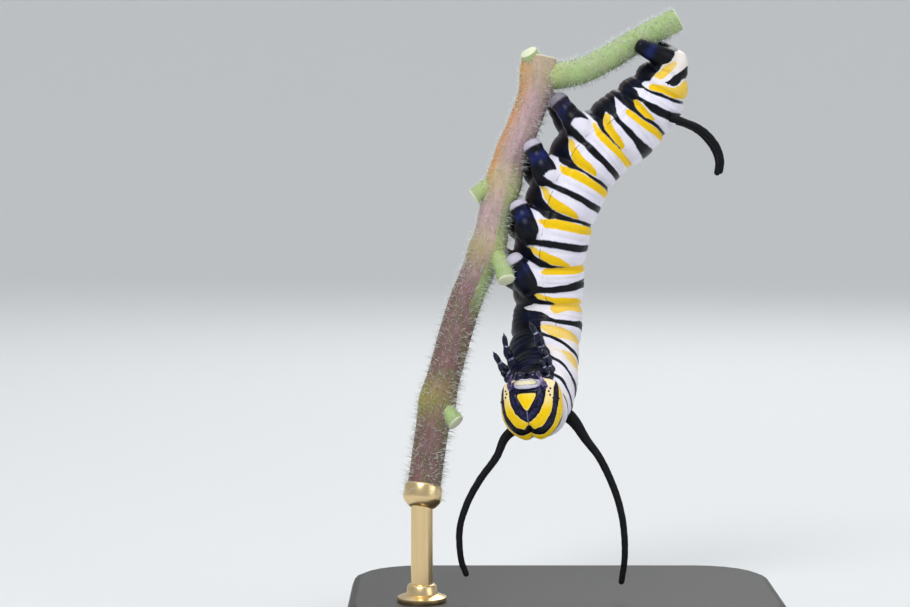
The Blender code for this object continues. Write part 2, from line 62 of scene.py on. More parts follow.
# Middle of each segment, head to tail: place (across, up, deep), radius, and the way that the
# belly faces. The places from T2 on, and most of the radii, came from a least-squares fit in a
# scratch script, to points picked by eye from the photo.
SEGMENTS = [
    ("T1", (4.40, -5.72, -6.15), 1.80, (-0.20, 0.80, -0.35)),
    ("T2", (4.61, -5.27, -5.33), 1.88, (-0.35, 0.65, -0.60)),
    ("T3", (4.86, -4.41, -3.85), 1.94, (-0.48, 0.45, -0.75)),
    ("A1", (4.95, -3.10, -2.28), 1.98, (-0.65, 0.20, -0.70)),
    ("A2", (5.20, -1.14, -1.24), 1.98, (-0.83, 0.00, -0.55)),
    ("A3", (5.27, 1.04, -1.26), 2.00, (-0.95, 0.00, -0.30)),
    ("A4", (5.44, 3.56, -1.75), 2.08, (-0.98, 0.05, -0.22)),
    ("A5", (6.30, 6.27, -1.78), 2.10, (-0.95, 0.25, -0.19)),
    ("A6", (7.72, 8.54, -1.64), 2.10, (-0.85, 0.45, -0.19)),
    ("A7", (9.70, 10.09, -1.58), 2.08, (-0.80, 0.55, -0.19)),
    ("A8", (11.13, 11.57, -1.68), 1.86, (-0.78, 0.58, -0.17)),
    ("A9", (11.78, 12.72, -1.90), 1.49, (-0.75, 0.60, -0.15)),
    ("A10", (12.22, 13.55, -2.19), 1.02, (-0.70, 0.70, -0.15)),
]
HEAD_CENTRE = (4.17, -5.71, -7.45)
HEAD_FORWARD = (-0.26, 0.00, -0.96)
HEAD_CROWN = (0.08, -1.00, 0.00)
# Half of the head's width, depth and height, and how its lower part squares off to the jaws
HEAD_HALF = (1.68, 1.27, 1.72)
JAW_POWER = 3.2
JAW_SHARE = 0.22
JAW_LIMIT = 1.5
# The middle of the stem, the stalk, the stubs and the filaments, and where the feet hold the stem.
# These places were picked by eye in the photo, and a scratch script turned most of them into
# millimetres.
STEM_PATH = [
    (4.78, 13.85, -2.0), (4.44, 11.66, -2.1), (3.88, 10.09, -2.1), (3.14, 8.34, -2.2),
    (2.69, 6.65, -2.3), (2.24, 4.96, -2.4), (1.90, 3.28, -2.5), (1.34, 1.87, -2.7),
    (0.67, 0.31, -3.2), (0.06, -1.58, -3.8), (-0.44, -3.40, -4.4), (-0.88, -5.03, -5.0),
    (-1.21, -6.66, -5.5), (-1.53, -8.82, -6.1), (-1.80, -10.69, -6.6),
]
STALK_PATH = [
    (5.30, 12.72, -2.10), (6.70, 12.92, -2.15), (8.30, 13.60, -2.20), (9.80, 14.50, -2.20),
    (11.15, 15.25, -2.20), (12.50, 15.95, -2.20),
]
LEAF_STUBS = {
    "upper": [(2.60, 6.70, -2.3), (2.10, 6.60, -2.35), (1.66, 6.38, -2.4), (1.10, 5.98, -2.4)],
    "middle": [(1.75, 3.00, -2.5), (2.20, 2.70, -2.9), (2.60, 2.10, -3.4), (2.85, 1.30, -3.9)],
    "lower": [(-1.20, -5.40, -5.1), (-0.85, -5.65, -5.4), (-0.45, -5.96, -5.7), (0.05, -6.50, -6.0)],
    "top": [(4.85, 13.10, -2.0), (4.45, 13.50, -2.3), (4.10, 14.05, -2.6)],
}
FRONT_FILAMENTS = {
    "right": [
        (5.55, -5.66, -5.2), (6.45, -6.38, -5.25), (7.18, -7.45, -5.5), (7.88, -8.40, -5.8),
        (8.41, -9.45, -6.0), (8.83, -10.55, -6.2), (9.10, -11.63, -6.3), (9.23, -12.77, -6.4),
        (9.23, -13.91, -6.4), (9.07, -15.15, -6.3),
    ],
    "left": [
        (4.25, -5.85, -4.7), (3.55, -6.70, -4.3), (2.76, -7.42, -4.6), (2.31, -8.39, -5.0),
        (1.40, -9.62, -5.4), (0.63, -11.02, -5.7), (0.27, -12.24, -5.9), (0.25, -13.29, -6.0),
        (0.38, -14.16, -6.0), (0.60, -14.75, -6.0),
    ],
}
REAR_FILAMENTS = {
    "right": [
        (11.45, 10.85, -2.2), (12.13, 10.37, -2.75), (12.72, 10.13, -3.0), (13.63, 9.73, -3.2),
        (14.31, 9.11, -3.3), (14.68, 8.49, -3.3), (14.81, 7.88, -3.3), (14.76, 7.38, -3.2),
    ],
    "left": [
        (11.35, 10.80, -0.9), (11.95, 10.50, -0.3), (12.85, 10.35, 0.2), (13.85, 9.92, 0.5),
        (14.55, 9.27, 0.7), (14.95, 8.62, 0.8), (15.08, 8.00, 0.8), (15.02, 7.50, 0.8),
    ],
}
FEET = {
    "A3": (3.22, 2.50, -3.4),
    "A4": (3.50, 5.50, -3.3),
    "A5": (4.25, 8.85, -3.25),
    "A6": (5.70, 11.40, -3.1),
}
# Half of how far apart the feet and the claspers of a pair are
FOOT_SPREAD = 1.0
CLASPER_SPREAD = 0.75
# Segment, place along it, root's angle from the belly's middle, root radius, and the tips of the
# right and left legs: out from the skin, to the side, and towards the head
LEGS = {
    "front": ("T1", 0.95, 36.0, 0.34, (0.90, 0.85, 0.00), (0.60, 1.40, 0.10)),
    "middle": ("T2", 0.60, 40.0, 0.37, (0.90, 1.10, -0.10), (1.45, 1.50, 0.00)),
    "rear": ("T3", 0.50, 35.0, 0.36, (1.50, 0.95, -0.90), (1.40, 0.70, -0.90)),
}
LEG_END_RADIUS = 0.11
HANDS = {"left": -1, "right": 1}
SKIN_VOXEL = 0.075
SKIN_SMOOTHINGS = 24
SKIN_INSET = 0.02


def to_world(place):
    """A place in the picture frame, in world millimetres."""
    across, up, deep = np.moveaxis(np.asarray(place, float), -1, 0)
    east = across - BASE_ACROSS
    north = up * math.sin(VIEW_PITCH) + deep * math.cos(VIEW_PITCH) - BASE_DEEP
    height = up * math.cos(VIEW_PITCH) - deep * math.sin(VIEW_PITCH) - BASE_TOP + BASE_THICKNESS
    return np.stack([east, north, height], axis=-1)


def turn_to_world(direction):
    turned = to_world(direction) - to_world((0.0, 0.0, 0.0))
    return turned / np.linalg.norm(turned, axis=-1, keepdims=True)


def unit(vectors):
    return vectors / np.linalg.norm(vectors, axis=-1, keepdims=True)


def smooth_through(knots, values, at):
    """A smooth curve through the values, read at the places asked for."""
    values = np.asarray(values, float)
    slope = np.gradient(values, knots, axis=0)
    left = np.clip(np.searchsorted(knots, at) - 1, 0, len(knots) - 2)
    step = knots[left + 1] - knots[left]
    t = (at - knots[left]) / step
    if values.ndim > 1:
        t = t[:, None]
        step = step[:, None]
    start = 2 * t**3 - 3 * t**2 + 1
    start_slope = t**3 - 2 * t**2 + t
    end_slope = t**3 - t**2
    value = start * values[left] + (1 - start) * values[left + 1]
    return value + step * (start_slope * slope[left] + end_slope * slope[left + 1])


def lengths_along(points):
    return np.concatenate([[0.0], np.cumsum(np.linalg.norm(np.diff(points, axis=0), axis=1))])


def even_path(points, count):
    """The world points as a smooth curve of evenly spaced points."""
    points = np.asarray(points, float)
    knots = lengths_along(points)
    fine = smooth_through(knots, points, np.linspace(0, knots[-1], 600))
    run = lengths_along(fine)
    even = np.linspace(0, run[-1], count)
    return np.stack([np.interp(even, run, fine[:, axis]) for axis in range(3)], axis=1)


def smoothstep(low, high, value):
    t = np.clip((value - low) / (high - low), 0, 1)
    return t * t * (3 - 2 * t)


def bump(value, centre, width):
    return np.exp(-(((value - centre) / width) ** 2))


def speckle(points, scale, seed=0.0, octaves=2):
    """Soft noise from -1 to 1 at world points."""
    shift = Vector((seed * 17.3, seed * 5.1, seed * 9.7))
    values = [noise.fractal(Vector(p) * scale + shift, 1.0, 2.0, octaves) for p in points]
    return np.array(values)


class BodyAxis:
    """The line down the middle of the body, with its radius and the way the belly faces."""

    def __init__(self):
        self.names = [name for name, *_ in SEGMENTS]
        self.places = to_world([place for _, place, _, _ in SEGMENTS])
        self.knots = lengths_along(self.places)
        self.radii = np.array([radius for *_, radius, _ in SEGMENTS])
        self.bellies = turn_to_world([belly for *_, belly in SEGMENTS])
        middles = (self.knots[1:] + self.knots[:-1]) / 2
        self.folds = np.concatenate([[self.knots[0] - 0.55], middles, [self.knots[-1] + 0.85]])

    def at(self, run):
        """Centre, headward direction, belly direction, right-hand direction and radius."""
        run = np.atleast_1d(np.asarray(run, float))
        inside = np.clip(run, self.knots[0], self.knots[-1])
        centre = smooth_through(self.knots, self.places, inside)
        ahead = smooth_through(self.knots, self.places, np.clip(inside - 0.05, self.knots[0], None))
        behind = smooth_through(self.knots, self.places, np.clip(inside + 0.05, None, self.knots[-1]))
        headward = unit(ahead - behind)
        centre = centre - headward * (run - inside)[:, None]
        belly = smooth_through(self.knots, self.bellies, inside)
        belly = unit(belly - (belly * headward).sum(1)[:, None] * headward)
        side = np.cross(belly, headward)
        radius = smooth_through(self.knots, self.radii, inside)
        return centre, headward, belly, side, radius

    def point_at(self, name, share):
        number = self.names.index(name)
        return self.folds[number] + share * (self.folds[number + 1] - self.folds[number])

    def spot(self, name, share):
        """The same five as at() gives, for one place on a segment."""
        return [value[0] for value in self.at(self.point_at(name, share))]

    def locate(self, points):
        """Place along the body, angle from the back (+ on the right) and distance from the line."""
        fine = np.arange(self.folds[0] - 0.6, self.folds[-1] + 0.3, 0.05)
        centre, headward, *_ = self.at(fine)
        run = np.empty(len(points))
        for start in range(0, len(points), 4000):
            part = points[start:start + 4000]
            away = ((part[:, None] - centre[None]) ** 2).sum(2)
            near = away.argmin(1)
            offset = ((part - centre[near]) * headward[near]).sum(1)
            run[start:start + 4000] = fine[near] - offset
        centre, headward, belly, side, _ = self.at(run)
        out = points - centre
        across = (out * side).sum(1)
        down = (out * belly).sum(1)
        angle = np.degrees(np.arctan2(across, -down))
        return run, angle, np.hypot(across, down), centre, headward


AXIS = BodyAxis()


def mesh_from(name, points, faces):
    """A mesh in metres from points in millimetres."""
    mesh = bpy.data.meshes.new(name)
    mesh.from_pydata((np.asarray(points) * MM).tolist(), [], faces)
    mesh.validate()
    mesh.update()
    return mesh


def add_object(name, data):
    thing = bpy.data.objects.new(name, data)
    bpy.context.scene.collection.objects.link(thing)
    return thing


def place_piece(name, mesh, material, replaces=()):
    """Puts a mesh in the scene, riding on the part, in the given material."""
    piece = add_object(name, mesh)
    mesh.materials.clear()
    mesh.materials.append(material)
    mesh.shade_smooth()
    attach(piece, "root")
    if replaces:
        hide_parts(*replaces)
    return piece


def set_values(mesh, **values):
    """Numbers at each point of a mesh, for its material to read by name."""
    for name, numbers in values.items():
        attribute = mesh.attributes.new(name, "FLOAT", "POINT")
        attribute.data.foreach_set("value", np.asarray(numbers, np.float32))


def ring_faces(rows, columns, capped=True):
    """Faces between rings of points, and over both ends."""
    faces = []
    for row in range(rows - 1):
        for column in range(columns):
            after = (column + 1) % columns
            low = row * columns
            high = low + columns
            faces.append((low + column, low + after, high + after, high + column))
    if capped:
        faces.append(tuple(range(columns))[::-1])
        faces.append(tuple(range((rows - 1) * columns, rows * columns)))
    return faces


def ring_turns(columns):
    return np.linspace(0, 2 * math.pi, columns, endpoint=False)


def ball_angles(rows, columns):
    """Slope from the top and turn round, at each point of a ball's rings."""
    slopes = np.linspace(0, math.pi, rows + 2)[1:-1]
    return [value.ravel() for value in np.meshgrid(slopes, ring_turns(columns), indexing="ij")]


def read_rows(items, name, wide, kind=float):
    """One property of a mesh's points, edges or corners, as an array of rows."""
    values = np.empty(len(items) * wide, kind)
    items.foreach_get(name, values)
    return values.reshape(-1, wide)


def carry_across(points):
    """A sideways direction at each point that turns no more than the path does."""
    along = unit(np.gradient(points, axis=0))
    guess = np.array([0.0, -1.0, 0.0]) if abs(along[0][1]) < 0.8 else np.array([1.0, 0.0, 0.0])
    across = []
    for direction in along:
        guess = guess - guess.dot(direction) * direction
        guess = guess / np.linalg.norm(guess)
        across.append(guess)
    return along, np.array(across)


class Tube:
    """A rod of rings along a path, closed at both ends, with its own places along and round."""

    def __init__(self, path, radii, sides, domes=(0.0, 1.0), swelling=None):
        along, across = carry_across(path)
        radii = np.broadcast_to(radii, (len(path),)).astype(float)
        rows = []
        for spot in range(len(path)):
            rows.append((path[spot], radii[spot], along[spot], across[spot], spot / (len(path) - 1)))
        for end, dome in ((0, domes[0]), (1, domes[1])):
            place, size, way, side, share = rows[-1] if end else rows[0]
            outward = way if end else -way
            for angle in np.radians((18, 36, 54, 72, 84)):
                lift = size * dome * math.sin(angle)
                narrowed = size * math.cos(angle)
                row = (place + outward * lift, narrowed, way, side, share)
                rows.append(row) if end else rows.insert(0, row)
        turns = ring_turns(sides)
        self.sides = sides
        self.path = path
        self.radii = radii
        self.along = along
        self.across = across
        self.points = []
        self.share = []
        for place, size, way, side, share in rows:
            other = np.cross(way, side)
            swell = swelling(share, turns) if swelling else np.ones(sides)
            ring = place + (size * swell)[:, None] * (
                np.cos(turns)[:, None] * side + np.sin(turns)[:, None] * other
            )
            self.points.append(ring)
            self.share.append(np.full(sides, share))
        self.rows = len(rows)
        self.points = np.concatenate(self.points)
        self.share = np.concatenate(self.share)
        self.faces = ring_faces(self.rows, sides)
        self.shape = (self.points, self.faces)


def face_out(mesh):
    work = bmesh.new()
    work.from_mesh(mesh)
    bmesh.ops.recalc_face_normals(work, faces=work.faces)
    if work.calc_volume(signed=True) < 0:
        bmesh.ops.reverse_faces(work, faces=work.faces)
    work.to_mesh(mesh)
    work.free()
    return mesh


def join_shapes(shapes):
    """Points and faces of several shapes as one."""
    points = []
    faces = []
    for shape_points, shape_faces in shapes:
        offset = sum(len(part) for part in points)
        points.append(shape_points)
        faces += [tuple(corner + offset for corner in face) for face in shape_faces]
    return np.concatenate(points), faces


def place_shapes(name, shapes, material, replaces=()):
    """Joins shapes into one piece of the scene, facing out."""
    mesh = face_out(mesh_from(name, *join_shapes(shapes)))
    place_piece(name, mesh, material, replaces)
    return mesh


# Materials

# How far light goes in under pale skin, in metres, and each colour's share of it
LIGHT_DEPTH = 0.0003
LIGHT_SHARES = (0.9, 0.7, 0.5)


class Finish:
    """A material, and short words for its nodes."""

    def __init__(self, name, roughness, specular=0.5, subsurface=0.0, metallic=0.0):
        self.material = bpy.data.materials.new(name)
        self.material.use_nodes = True
        self.tree = self.material.node_tree
        self.shader = self.tree.nodes["Principled BSDF"]
        settings = {"Roughness": roughness, "Metallic": metallic, "Specular IOR Level": specular}
        if subsurface:
            settings["Subsurface Weight"] = subsurface
            settings["Subsurface Radius"] = LIGHT_SHARES
            settings["Subsurface Scale"] = LIGHT_DEPTH
        for socket, value in settings.items():
            self.shader.inputs[socket].default_value = value

    def done(self, colour, height=None, depth=0.0, strength=1.0):
        """Sets the colour and the small bumps, whose depth is in millimetres."""
        self.feed(self.shader.inputs["Base Color"], colour)
        if height:
            node = self.add("Bump")
            node.inputs["Strength"].default_value = strength
            node.inputs["Distance"].default_value = depth * MM
            self.feed(node.inputs["Height"], height)
            self.feed(self.shader.inputs["Normal"], node.outputs["Normal"])
        return self.material

    def add(self, kind, **settings):
        node = self.tree.nodes.new("ShaderNode" + kind)
        for name, value in settings.items():
            setattr(node, name, value)
        return node

    def feed(self, socket, value):
        if isinstance(value, bpy.types.NodeSocket):
            self.tree.links.new(value, socket)
        elif socket.type == "RGBA":
            socket.default_value = (*value, 1.0)
        else:
            socket.default_value = value

    def number(self, name):
        return self.add("Attribute", attribute_name=name).outputs["Fac"]

    def math(self, operation, one, two=0.0, clamp=False):
        node = self.add("Math", operation=operation, use_clamp=clamp)
        self.feed(node.inputs[0], one)
        self.feed(node.inputs[1], two)
        return node.outputs[0]

    def plus(self, one, two, clamp=False):
        return self.math("ADD", one, two, clamp)

    def minus(self, one, two):
        return self.math("SUBTRACT", one, two)

    def times(self, one, two):
        return self.math("MULTIPLY", one, two)

    def noise(self, scale, detail=3.0, roughness=0.55, stretch=(1.0, 1.0, 1.0)):
        """Noise from 0 to 1. The scale is in repeats to a millimetre."""
        mapping = self.add("Mapping")
        self.feed(mapping.inputs["Vector"], self.add("TexCoord").outputs["Object"])
        mapping.inputs["Scale"].default_value = stretch
        node = self.add("TexNoise")
        self.feed(node.inputs["Vector"], mapping.outputs[0])
        node.inputs["Scale"].default_value = scale / MM
        node.inputs["Detail"].default_value = detail
        node.inputs["Roughness"].default_value = roughness
        return node.outputs["Fac"]

    def wobble(self, reach, *grain):
        """Noise about zero, from half the reach below it to half above."""
        return self.times(self.minus(self.noise(*grain), 0.5), reach)

    def edge(self, distance, softness):
        """0 outside, 1 inside, from a distance in millimetres that is positive inside."""
        return self.math("ADD", self.math("DIVIDE", distance, softness), 0.5, clamp=True)

    def patches(self, over, softness, *grain):
        """1 where the noise is over a level, and 0 elsewhere."""
        return self.edge(self.minus(self.noise(*grain), over), softness)

    def mix(self, share, one, two):
        node = self.add("Mix", data_type="RGBA")
        self.feed(node.inputs["Factor"], share)
        first, second = [socket for socket in node.inputs if socket.type == "RGBA"]
        self.feed(first, one)
        self.feed(second, two)
        return [socket for socket in node.outputs if socket.type == "RGBA"][0]

    def ramp(self, value, *stops):
        """A colour that goes evenly from the first (place, colour) to the last."""
        node = self.add("ValToRGB")
        for element, (place, colour) in zip(node.color_ramp.elements, stops):
            element.position = place
            element.color = (*colour, 1.0)
        self.feed(node.inputs["Fac"], value)
        return node.outputs["Color"]


WHITE = (0.87, 0.86, 0.92)
LILAC = (0.66, 0.62, 0.77)
CREAM = (0.86, 0.74, 0.50)
YELLOW = (0.90, 0.60, 0.004)
DEEP_YELLOW = (0.70, 0.40, 0.002)
PALE_YELLOW = (0.84, 0.66, 0.26)
BLACK = (0.002, 0.003, 0.006)
# Painted reflection: a bluish sheen put into the colour of the black skin
PAINTED_SHEEN_BLUE = (0.012, 0.022, 0.15)
EDGE_BLUE = (0.10, 0.18, 0.28)
LINE_BROWN = (0.16, 0.08, 0.03)
FOOT_PAD = (0.50, 0.47, 0.56)
BELLY_BROWN = (0.06, 0.036, 0.032)
# Painted highlight, partly pale membranes: the pale rings at the legs' joints stand in for glints
MEMBRANE_GLINT_PALE = (0.42, 0.44, 0.62)
FACE_YELLOW = (0.95, 0.67, 0.003)
DEEP_FACE_YELLOW = (0.78, 0.47, 0.0)
FACE_CREAM = (0.90, 0.80, 0.64)
FACE_RIM = (0.88, 0.68, 0.20)
FACE_SPECK = (0.10, 0.05, 0.01)
FACE_BLACK = (0.002, 0.002, 0.005)
MOTTLE_BLACK = (0.002, 0.002, 0.006)
# Painted reflection: the bluish end of the mottled sheen in the face's black
PAINTED_REFLECTION_BLUE = (0.036, 0.034, 0.15)
SUTURE_LILAC = (0.30, 0.30, 0.48)
HORN_BLACK = (0.003, 0.003, 0.008)
# Painted sheen: the bluish highlight colour mixed into the black horn
PAINTED_HORN_SHEEN = (0.022, 0.026, 0.085)


def skin_material():
    own = Finish("skin", 0.36, specular=0.16, subsurface=0.10)
    fine = own.wobble(0.03, 9.0, 2.0)
    uneven = own.plus(own.wobble(0.07, 2.2, 3.0), fine)
    black_at = own.plus(own.number("black"), uneven)
    yellow_at = own.plus(own.number("yellow"), uneven)
    white = own.mix(own.noise(0.9, 2.0), WHITE, LILAC)
    white = own.mix(own.number("cream"), white, CREAM)
    yellow = own.mix(own.times(own.noise(3.0), 0.55), YELLOW, DEEP_YELLOW)
    yellow = own.mix(own.times(own.number("under"), 0.25), yellow, PALE_YELLOW)
    yellow = own.mix(own.number("cream"), yellow, CREAM)
    pattern = own.mix(own.edge(yellow_at, 0.05), white, yellow)
    line = own.edge(own.plus(own.number("line"), fine), 0.03)
    pattern = own.mix(own.times(line, 0.75), pattern, LINE_BROWN)
    rim = own.edge(own.plus(black_at, 0.025), 0.05)
    pattern = own.mix(own.times(rim, 0.55), pattern, EDGE_BLUE)
    # Painted reflection: patches of bluish sheen on the black, where the sheen mask is set
    painted_glint_patches = own.patches(0.52, 0.16, 1.1, 2.0)
    dark = own.mix(own.times(own.number("blue"), painted_glint_patches), BLACK, PAINTED_SHEEN_BLUE)
    dark = own.mix(own.times(own.number("brown"), own.noise(2.5)), dark, BELLY_BROWN)
    colour = own.mix(own.edge(black_at, 0.045), pattern, dark)
    colour = own.mix(own.number("pad"), colour, FOOT_PAD)
    return own.done(colour, own.noise(7.0, 4.0, 0.6), 0.016, 0.6)


def head_material():
    own = Finish("head_shell", 0.24, specular=0.18)
    yellow_at = own.plus(own.number("yellow"), own.wobble(0.06, 5.0, 3.0))
    yellow = own.mix(own.noise(4.0, 3.0), FACE_YELLOW, DEEP_FACE_YELLOW)
    yellow = own.mix(own.number("cream"), yellow, FACE_CREAM)
    inside = own.edge(own.minus(yellow_at, 0.035), 0.05)
    yellow = own.mix(inside, FACE_RIM, yellow)
    yellow = own.mix(own.times(own.patches(0.69, 0.05, 14.0, 2.0), 0.7), yellow, FACE_SPECK)
    # Painted reflection: a bluish mottled sheen deep inside the black areas of the face
    mottle = own.ramp(own.noise(6.0, 4.0, 0.7), (0.42, MOTTLE_BLACK), (0.64, PAINTED_REFLECTION_BLUE))
    deep_in = own.edge(own.minus(-0.14, yellow_at), 0.16)
    dark = own.mix(own.times(own.number("blue"), deep_in), FACE_BLACK, mottle)
    colour = own.mix(own.edge(yellow_at, 0.03), dark, yellow)
    colour = own.mix(own.edge(own.number("pale"), 0.03), colour, SUTURE_LILAC)
    return own.done(colour, own.noise(11.0, 3.0, 0.6), 0.014, 0.6)


def horn_material(name="horn", tint=HORN_BLACK, tone_and_sheen=PAINTED_HORN_SHEEN):
    own = Finish(name, 0.14, specular=0.32)
    # Painted sheen on the black horn: patches of the second colour, bluish by default; on the pale
    # sockets only a darker tone
    colour = own.mix(own.times(own.noise(5.0), 0.5), tint, tone_and_sheen)
    # Painted highlight at the legs' joints, partly the paler membranes there
    membrane_glint_share = own.times(own.number("joint"), own.patches(0.5, 0.2, 6.0))
    colour = own.mix(membrane_glint_share, colour, MEMBRANE_GLINT_PALE)
    return own.done(colour, own.noise(7.0, 2.0), 0.012, 0.35)


def velvet_material():
    own = Finish("velvet", 0.60, specular=0.12)
    colour = own.mix(own.noise(8.0, 3.0), (0.002, 0.002, 0.003), (0.009, 0.009, 0.012))
    return own.done(colour, own.noise(16.0, 2.0), 0.03, 0.7)


def labrum_material():
    """Lilac white round the rim, with a pale yellow bar that dark dots outline."""
    own = Finish("labrum", 0.32, specular=0.3, subsurface=0.12)
    bar = own.number("middle")
    colour = own.mix(own.noise(5.0, 3.0), (0.74, 0.72, 0.82), (0.44, 0.44, 0.58))
    band = own.times(own.edge(bar, 0.09), own.plus(0.30, own.noise(8.0, 3.0)))
    colour = own.mix(band, colour, (0.76, 0.69, 0.38))
    outline = own.edge(own.minus(0.03, own.math("ABSOLUTE", bar)), 0.03)
    dots = own.times(own.patches(0.42, 0.08, 9.0, 2.0), 0.55)
    colour = own.mix(own.times(outline, dots), colour, (0.02, 0.015, 0.02))
    return own.done(colour, own.noise(10.0, 3.0), 0.012, 0.6)


def antenna_material():
    own = Finish("antenna", 0.22, specular=0.4)
    streaks = own.noise(3.0, 4.0, 0.6, (1.0, 1.0, 0.5))
    colour = own.ramp(streaks, (0.40, (0.035, 0.018, 0.09)), (0.62, (0.46, 0.36, 0.66)))
    return own.done(colour, own.noise(9.0, 3.0), 0.012, 0.5)


def stem_material():
    own = Finish("stem", 0.55, specular=0.25, subsurface=0.05)
    streaks = own.noise(1.4, 4.0, 0.6, (1.6, 1.6, 0.28))
    mottle = own.noise(2.6, 4.0, 0.65)
    uneven = own.minus(streaks, 0.5)
    pink = own.mix(mottle, (0.36, 0.22, 0.23), (0.58, 0.42, 0.43))
    pink = own.mix(own.number("orange"), pink, (0.60, 0.28, 0.13))
    purple = own.mix(mottle, (0.040, 0.017, 0.022), (0.19, 0.098, 0.078))
    purple = own.mix(own.times(own.patches(0.55, 0.10, 0.9, 3.0), 0.5), purple, (0.15, 0.042, 0.050))
    bark = own.mix(own.plus(own.number("purple"), uneven, True), pink, purple)
    green = own.mix(mottle, (0.22, 0.38, 0.10), (0.46, 0.56, 0.28))
    colour = own.mix(own.plus(own.number("green"), uneven, True), bark, green)
    colour = own.mix(own.number("node"), colour, (0.50, 0.53, 0.03))
    pith = own.mix(mottle, (0.62, 0.66, 0.42), (0.78, 0.80, 0.62))
    colour = own.mix(own.number("cut"), colour, pith)
    return own.done(colour, own.plus(streaks, own.times(mottle, 0.6)), 0.05, 0.7)


def hair_material():
    own = Finish("stem_hair", 0.5)
    return own.done(own.mix(own.noise(1.5, 2.0), (0.88, 0.90, 0.90), (0.66, 0.72, 0.64)))


def base_material():
    own = Finish("base", 0.42, specular=0.30)
    colour = own.mix(own.noise(3.0, 5.0, 0.6), (0.024, 0.022, 0.021), (0.042, 0.038, 0.034))
    return own.done(colour, own.noise(12.0, 3.0), 0.01, 0.5)


def rod_material():
    own = Finish("rod", 0.28, metallic=1.0)
    brushed = own.noise(10.0, 3.0, 0.6, (1.0, 1.0, 0.05))
    colour = own.mix(brushed, (0.72, 0.52, 0.26), (0.86, 0.67, 0.38))
    return own.done(colour, brushed, 0.01, 0.4)


# Body skin

BODY_SIDES = 72
FRONT_ROUNDING = 0.45
BACK_ROUNDING = 1.3
LIMB_SIDES = 40
LIMB_DOME = 0.55
PROLEG_SPREAD = 36.0
# Share of each fleshy leg where its black starts
LIMB_BLACK_FROM = {"A3": 0.23, "A4": 0.32, "A5": 0.40, "A6": 0.48, "A10": 0.12}
# How pale the pad at the end of each fleshy leg is
PAD_PALENESS = {"A3": 1.0, "A4": 1.0, "A5": 0.9, "A6": 0.4, "A10": 0.0}


def body_radius(run):
    """The plain tube's radius, with rounded ends."""
    front = np.clip((AXIS.folds[0] + 0.42 - run) / FRONT_ROUNDING, 0, 0.985)
    back = np.clip((run - (AXIS.folds[-1] - BACK_ROUNDING)) / BACK_ROUNDING, 0, 0.985)
    return AXIS.at(run)[4] * np.sqrt(1 - front**2 * 0.6) * np.sqrt(1 - back**2) - SKIN_INSET


def body_shape():
    run = np.arange(AXIS.folds[0], AXIS.folds[-1], 0.12)
    centre, _, belly, side, _ = AXIS.at(run)
    radius = body_radius(run)
    turns = ring_turns(BODY_SIDES)
    rings = [
        centre[i] + radius[i] * (np.cos(turns)[:, None] * side[i] + np.sin(turns)[:, None] * belly[i])
        for i in range(len(run))
    ]
    return np.concatenate(rings), ring_faces(len(run), BODY_SIDES)


def way_out(belly, side, hand, spread):
    """The way out of the body, at an angle in degrees from the belly's middle to one side."""
    return math.cos(math.radians(spread)) * belly + hand * math.sin(math.radians(spread)) * side


def proleg_radii(share):
    radii = 0.88 - 0.42 * share**1.2 + 0.09 * bump(share, 0.95, 0.1) - SKIN_INSET
    return radii - 0.05 * bump(share, 0.62, 0.06) - 0.04 * bump(share, 0.80, 0.05)


def clasper_radii(share):
    return 0.66 - 0.22 * share - SKIN_INSET


class Limb:
    """One fleshy leg: its path, its radius along it, and where its colours start."""

    def __init__(self, name, segment, points, steps, radii):
        knots = lengths_along(points)
        share = np.linspace(0, 1, steps)
        self.name = name
        self.path = smooth_through(knots, points, share * knots[-1])
        self.radii = radii(share)
        self.length = lengths_along(self.path)[-1]
        self.shape = Tube(self.path, self.radii, LIMB_SIDES, (0.0, LIMB_DOME)).shape
        self.black_from = LIMB_BLACK_FROM[segment]
        self.pad = PAD_PALENESS[segment]

    def locate(self, points):
        """Share along the limb, distance from its surface, and offset from its middle line."""
        away = np.sqrt(((points[:, None] - self.path[None]) ** 2).sum(2))
        near = away.argmin(1)
        gap = away.min(1) - self.radii[near]
        return near / (len(self.path) - 1), gap, points - self.path[near]


def make_limbs():
    limbs = []
    for segment, foot in FEET.items():
        centre, _, belly, side, radius = AXIS.spot(segment, 0.60)
        near = to_world(foot)
        for name, hand in HANDS.items():
            outward = way_out(belly, side, hand, PROLEG_SPREAD)
            root = centre + outward * radius * 0.62
            middle = centre + outward * radius * 1.02
            grip = near if hand > 0 else near - 2 * FOOT_SPREAD * side
            points = np.array([root, middle, (middle + grip) / 2 + 0.1 * hand * side, grip])
            limbs.append(Limb(f"proleg_{segment[1:]}_{name}", segment, points, 81, proleg_radii))
    centre, _, belly, side, radius = AXIS.spot("A10", 0.45)
    for name, hand in HANDS.items():
        root = centre + belly * radius * 0.25 + side * hand * 0.45
        middle = centre + belly * radius * 1.15 + side * hand * 0.85
        grip = centre + belly * (radius + 1.15) + side * hand * CLASPER_SPREAD * 1.25
        points = np.array([root, middle, grip])
        limbs.append(Limb(f"clasper_{name}", "A10", points, 25, clasper_radii))
    return limbs
